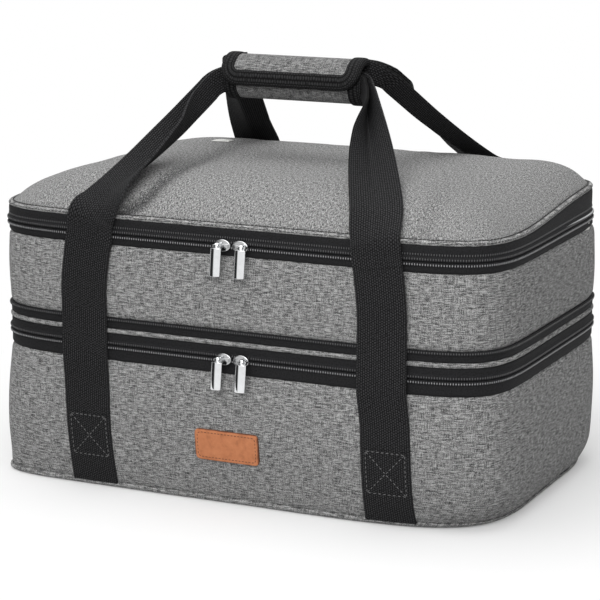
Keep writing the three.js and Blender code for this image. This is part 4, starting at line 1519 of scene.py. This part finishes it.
def zipSlider(name, node, side, sliderBody):
    middleX, middleZ = middleOf(node).xz
    halfX, halfZ = sliderLook["fillX"] * halfOf(node).x, sliderLook["fillZ"] * halfOf(node).z
    thick, bridge, tall, sunk = (sliderLook[key] for key in ("plate", "bridge", "tall", "legSunk"))
    back = high(node).y
    front, tip = back - thick, low(node).y
    disc = bpy.ops.mesh.primitive_cylinder_add
    plate = added(disc, "plate", vertices=48, radius=1, depth=1, rotation=(math.pi / 2, 0, 0))
    bpy.ops.object.transform_apply(rotation=True)
    places = vertexPlaces(plate) * [halfX, thick, halfZ]
    setPlaces(plate, places + [middleX, (back + front) / 2, middleZ])
    roundEdges(plate, sliderLook["rim"], 4, 40)
    pullX = middleOf(node.replace("slider", "pull")).x
    rise = front - tip
    legs = []
    for k in (-1, 1):
        place = (pullX + k * sliderLook["legApart"], front + (sunk - rise) / 2, middleZ)
        legs.append(addBox((bridge, rise + sunk, tall), place, sliderLook["legEdge"]))
    barPlace = (pullX, tip + bridge / 2, middleZ)
    bar = addBox((sliderLook["barWidth"], bridge, tall), barPlace, sliderLook["barEdge"])
    spineX, spineY, spineZ = sliderLook["spine"]
    spinePlace = (middleX - side * sliderLook["spineAside"], front - sliderLook["spineRise"], middleZ)
    spine = addBox((halfX * spineX, spineY, halfZ * spineZ), spinePlace, sliderLook["spineEdge"])
    slider = join([plate, *legs, bar, spine], name)
    smooth(slider, 35)
    dress(slider, "slider", sliderBody, node)


def zipPull(name, node, pullBody, axisHeight):
    middleX, axisY = middleOf(node).xy
    corner, thickness = low(node), pullLook["thickness"]
    barTop = axisHeight - pullLook["top"]
    barLength = barTop - corner.z
    bar = added(bpy.ops.mesh.primitive_cylinder_add, "bar", vertices=56, radius=1, depth=1)
    x, y, z = vertexPlaces(bar).T
    bulge = y * np.where(y < 0, *pullLook["bulges"]) * 2 * thickness
    places = np.column_stack([x * pullLook["width"] / 2, bulge, z * barLength])
    middleY = corner.y + thickness / 2 + pullLook["behind"]
    setPlaces(bar, places + [middleX, middleY, barTop - barLength / 2])
    roundEdges(bar, pullLook["edge"], 3, 50)
    eye = added(
        bpy.ops.mesh.primitive_torus_add, "eye", major_segments=28, minor_segments=10,
        major_radius=pullLook["eyeRadius"], minor_radius=pullLook["eyeWire"],
        location=(middleX, axisY, axisHeight), rotation=(0, math.pi / 2, 0),
    )
    bpy.ops.object.transform_apply(location=True, rotation=True)
    setPlaces(eye, (vertexPlaces(eye) - [middleX, 0, 0]) * [pullLook["eyeWidth"], 1, 1] + [middleX, 0, 0])
    pull = join([bar, eye], name)
    places = vertexPlaces(pull)
    places[:, 0] -= (axisHeight - places[:, 2]) * math.tan(math.radians(pullLook["hang"]))
    setPlaces(pull, places)
    smooth(pull, 35)
    dress(pull, "chrome", pullBody, node)


for zipName, slit in (("lower", level["lowerSlit"]), ("lid", level["lidSlit"])):
    for sideName, side in (("left", -1), ("right", 1)):
        title, slide = f"{zipName}{sideName.capitalize()}", f"{zipName}_{sideName}"
        zipSlider(title + "Slider", f"{zipName}_zip_slider_{sideName}", side, slide + "_slider")
        zipPull(title + "Pull", f"{zipName}_zip_pull_{sideName}", slide + "_pull", slit)
print("patch, tab and zip hardware made")


# Floor, world, lamps and camera
stageLook = {
    "size": 14, "floor": 0.93, "bounce": 0.5, "cloud": 0.02, "clearFrom": 0.2, "clearTo": 0.46,
    "clearLeast": 0.25, "ambient": 0.45,
}


# Seen directly, the floor fades to white away from the object, and near it keeps the shadow
def stageFloor():
    look = Look("paleFloor")
    spot = look.coordinates("Object")
    x, y, z = look.parts(spot)
    away = (x * x + y * y).root()
    seen = look.seenBy("Is Camera Ray", "Is Glossy Ray", "Is Transmission Ray")
    cloud = look.noise(spot, 1.5, 2.0) * stageLook["cloud"]
    pale = seen * (stageLook["floor"] - stageLook["bounce"]) + stageLook["bounce"] + cloud
    colour = look.node("ShaderNodeCombineColor", None, {0: pale, 1: pale, 2: pale})
    clear = away.steps(stageLook["clearFrom"], stageLook["clearTo"]).highest(stageLook["clearLeast"]) * seen
    matt = look.node("ShaderNodeBsdfDiffuse", None, {"Color": colour})
    white = look.node("ShaderNodeEmission", None, {"Color": (1, 1, 1, 1), "Strength": 1.0})
    floor = added(bpy.ops.mesh.primitive_plane_add, "floor", size=stageLook["size"])
    mixed = look.node("ShaderNodeMixShader", None, {0: clear, 1: matt, 2: white})
    floor.data.materials.append(look.shade(mixed))


def paleWorld():
    look = Look("paleWorld", bpy.data.worlds)
    seen = look.seenBy("Is Camera Ray", "Is Glossy Ray")
    strength = seen * (1 - stageLook["ambient"]) + stageLook["ambient"]
    glow = look.node("ShaderNodeBackground", None, {"Color": (1, 1, 1, 1), "Strength": strength})
    bpy.context.scene.world = look.shade(glow, "ShaderNodeOutputWorld")


stageFloor()
paleWorld()


# A lamp or camera put in the scene at a place and aimed at a spot
def aimed(name, device, place, aim):
    holder = bpy.data.objects.new(name, device)
    bpy.context.scene.collection.objects.link(holder)
    holder.location = place
    holder.rotation_euler = (Vector(aim) - Vector(place)).to_track_quat("-Z", "Y").to_euler()
    return holder


lampAim = (0, 0, 0.1)
lamps = {
    "topSoftbox": {"place": (-0.25, -0.2, 2.0), "size": (2.0, 1.6), "power": 22},
    "frontSoftbox": {"place": (0.5, -1.9, 1.3), "size": (1.2, 1.2), "power": 26},
}
for name, lampLook in lamps.items():
    lamp = bpy.data.lights.new(name, "AREA")
    lamp.shape = "RECTANGLE"
    lamp.size, lamp.size_y = lampLook["size"]
    lamp.energy = lampLook["power"]
    aimed(name, lamp, lampLook["place"], lampAim)


# A dark card that only polished metal sees, as a studio flag gives chrome its dark side
cardLook = {
    "left": (-0.42, -0.2), "right": (-0.085, -0.3), "height": 0.35, "dark": (0.03, 0.03, 0.03),
    "darkTo": 0.72, "paleFrom": 0.85,
}


def darkCard():
    look = Look("darkCard")
    x, y, z = look.parts(look.coordinates("Object"))
    shade = look.ramp(x * 4 + 1.2, (cardLook["darkTo"], cardLook["dark"]), (cardLook["paleFrom"], (1, 1, 1)))
    card = added(bpy.ops.mesh.primitive_plane_add, "darkCard", size=1)
    across, up = plan(vertexPlaces(card)).T + 0.5
    left, right = np.array(cardLook["left"]), np.array(cardLook["right"])
    spots = left + (right - left) * across[:, None]
    setPlaces(card, np.column_stack([spots, up * cardLook["height"]]))
    glow = look.node("ShaderNodeEmission", None, {"Color": shade, "Strength": 1.0})
    card.data.materials.append(look.shade(glow))
    for ray in ("camera", "diffuse", "shadow", "transmission", "volume_scatter"):
        setattr(card, f"visible_{ray}", False)


darkCard()

cameraLook = {
    "place": (734.7 * mm, -1562.0 * mm, 510.7 * mm), "aim": (0, 0, 100 * mm), "lens": 137.0, "sensor": 36,
    "shift": (-0.0065, 0.0643),
}
camera = bpy.data.cameras.new("camera")
camera.lens = cameraLook["lens"]
camera.sensor_width = cameraLook["sensor"]
camera.shift_x, camera.shift_y = cameraLook["shift"]
bpy.context.scene.camera = aimed("camera", camera, cameraLook["place"], cameraLook["aim"])
bpy.context.scene.view_settings.view_transform = "Standard"
print("stage, lamps and camera ready")
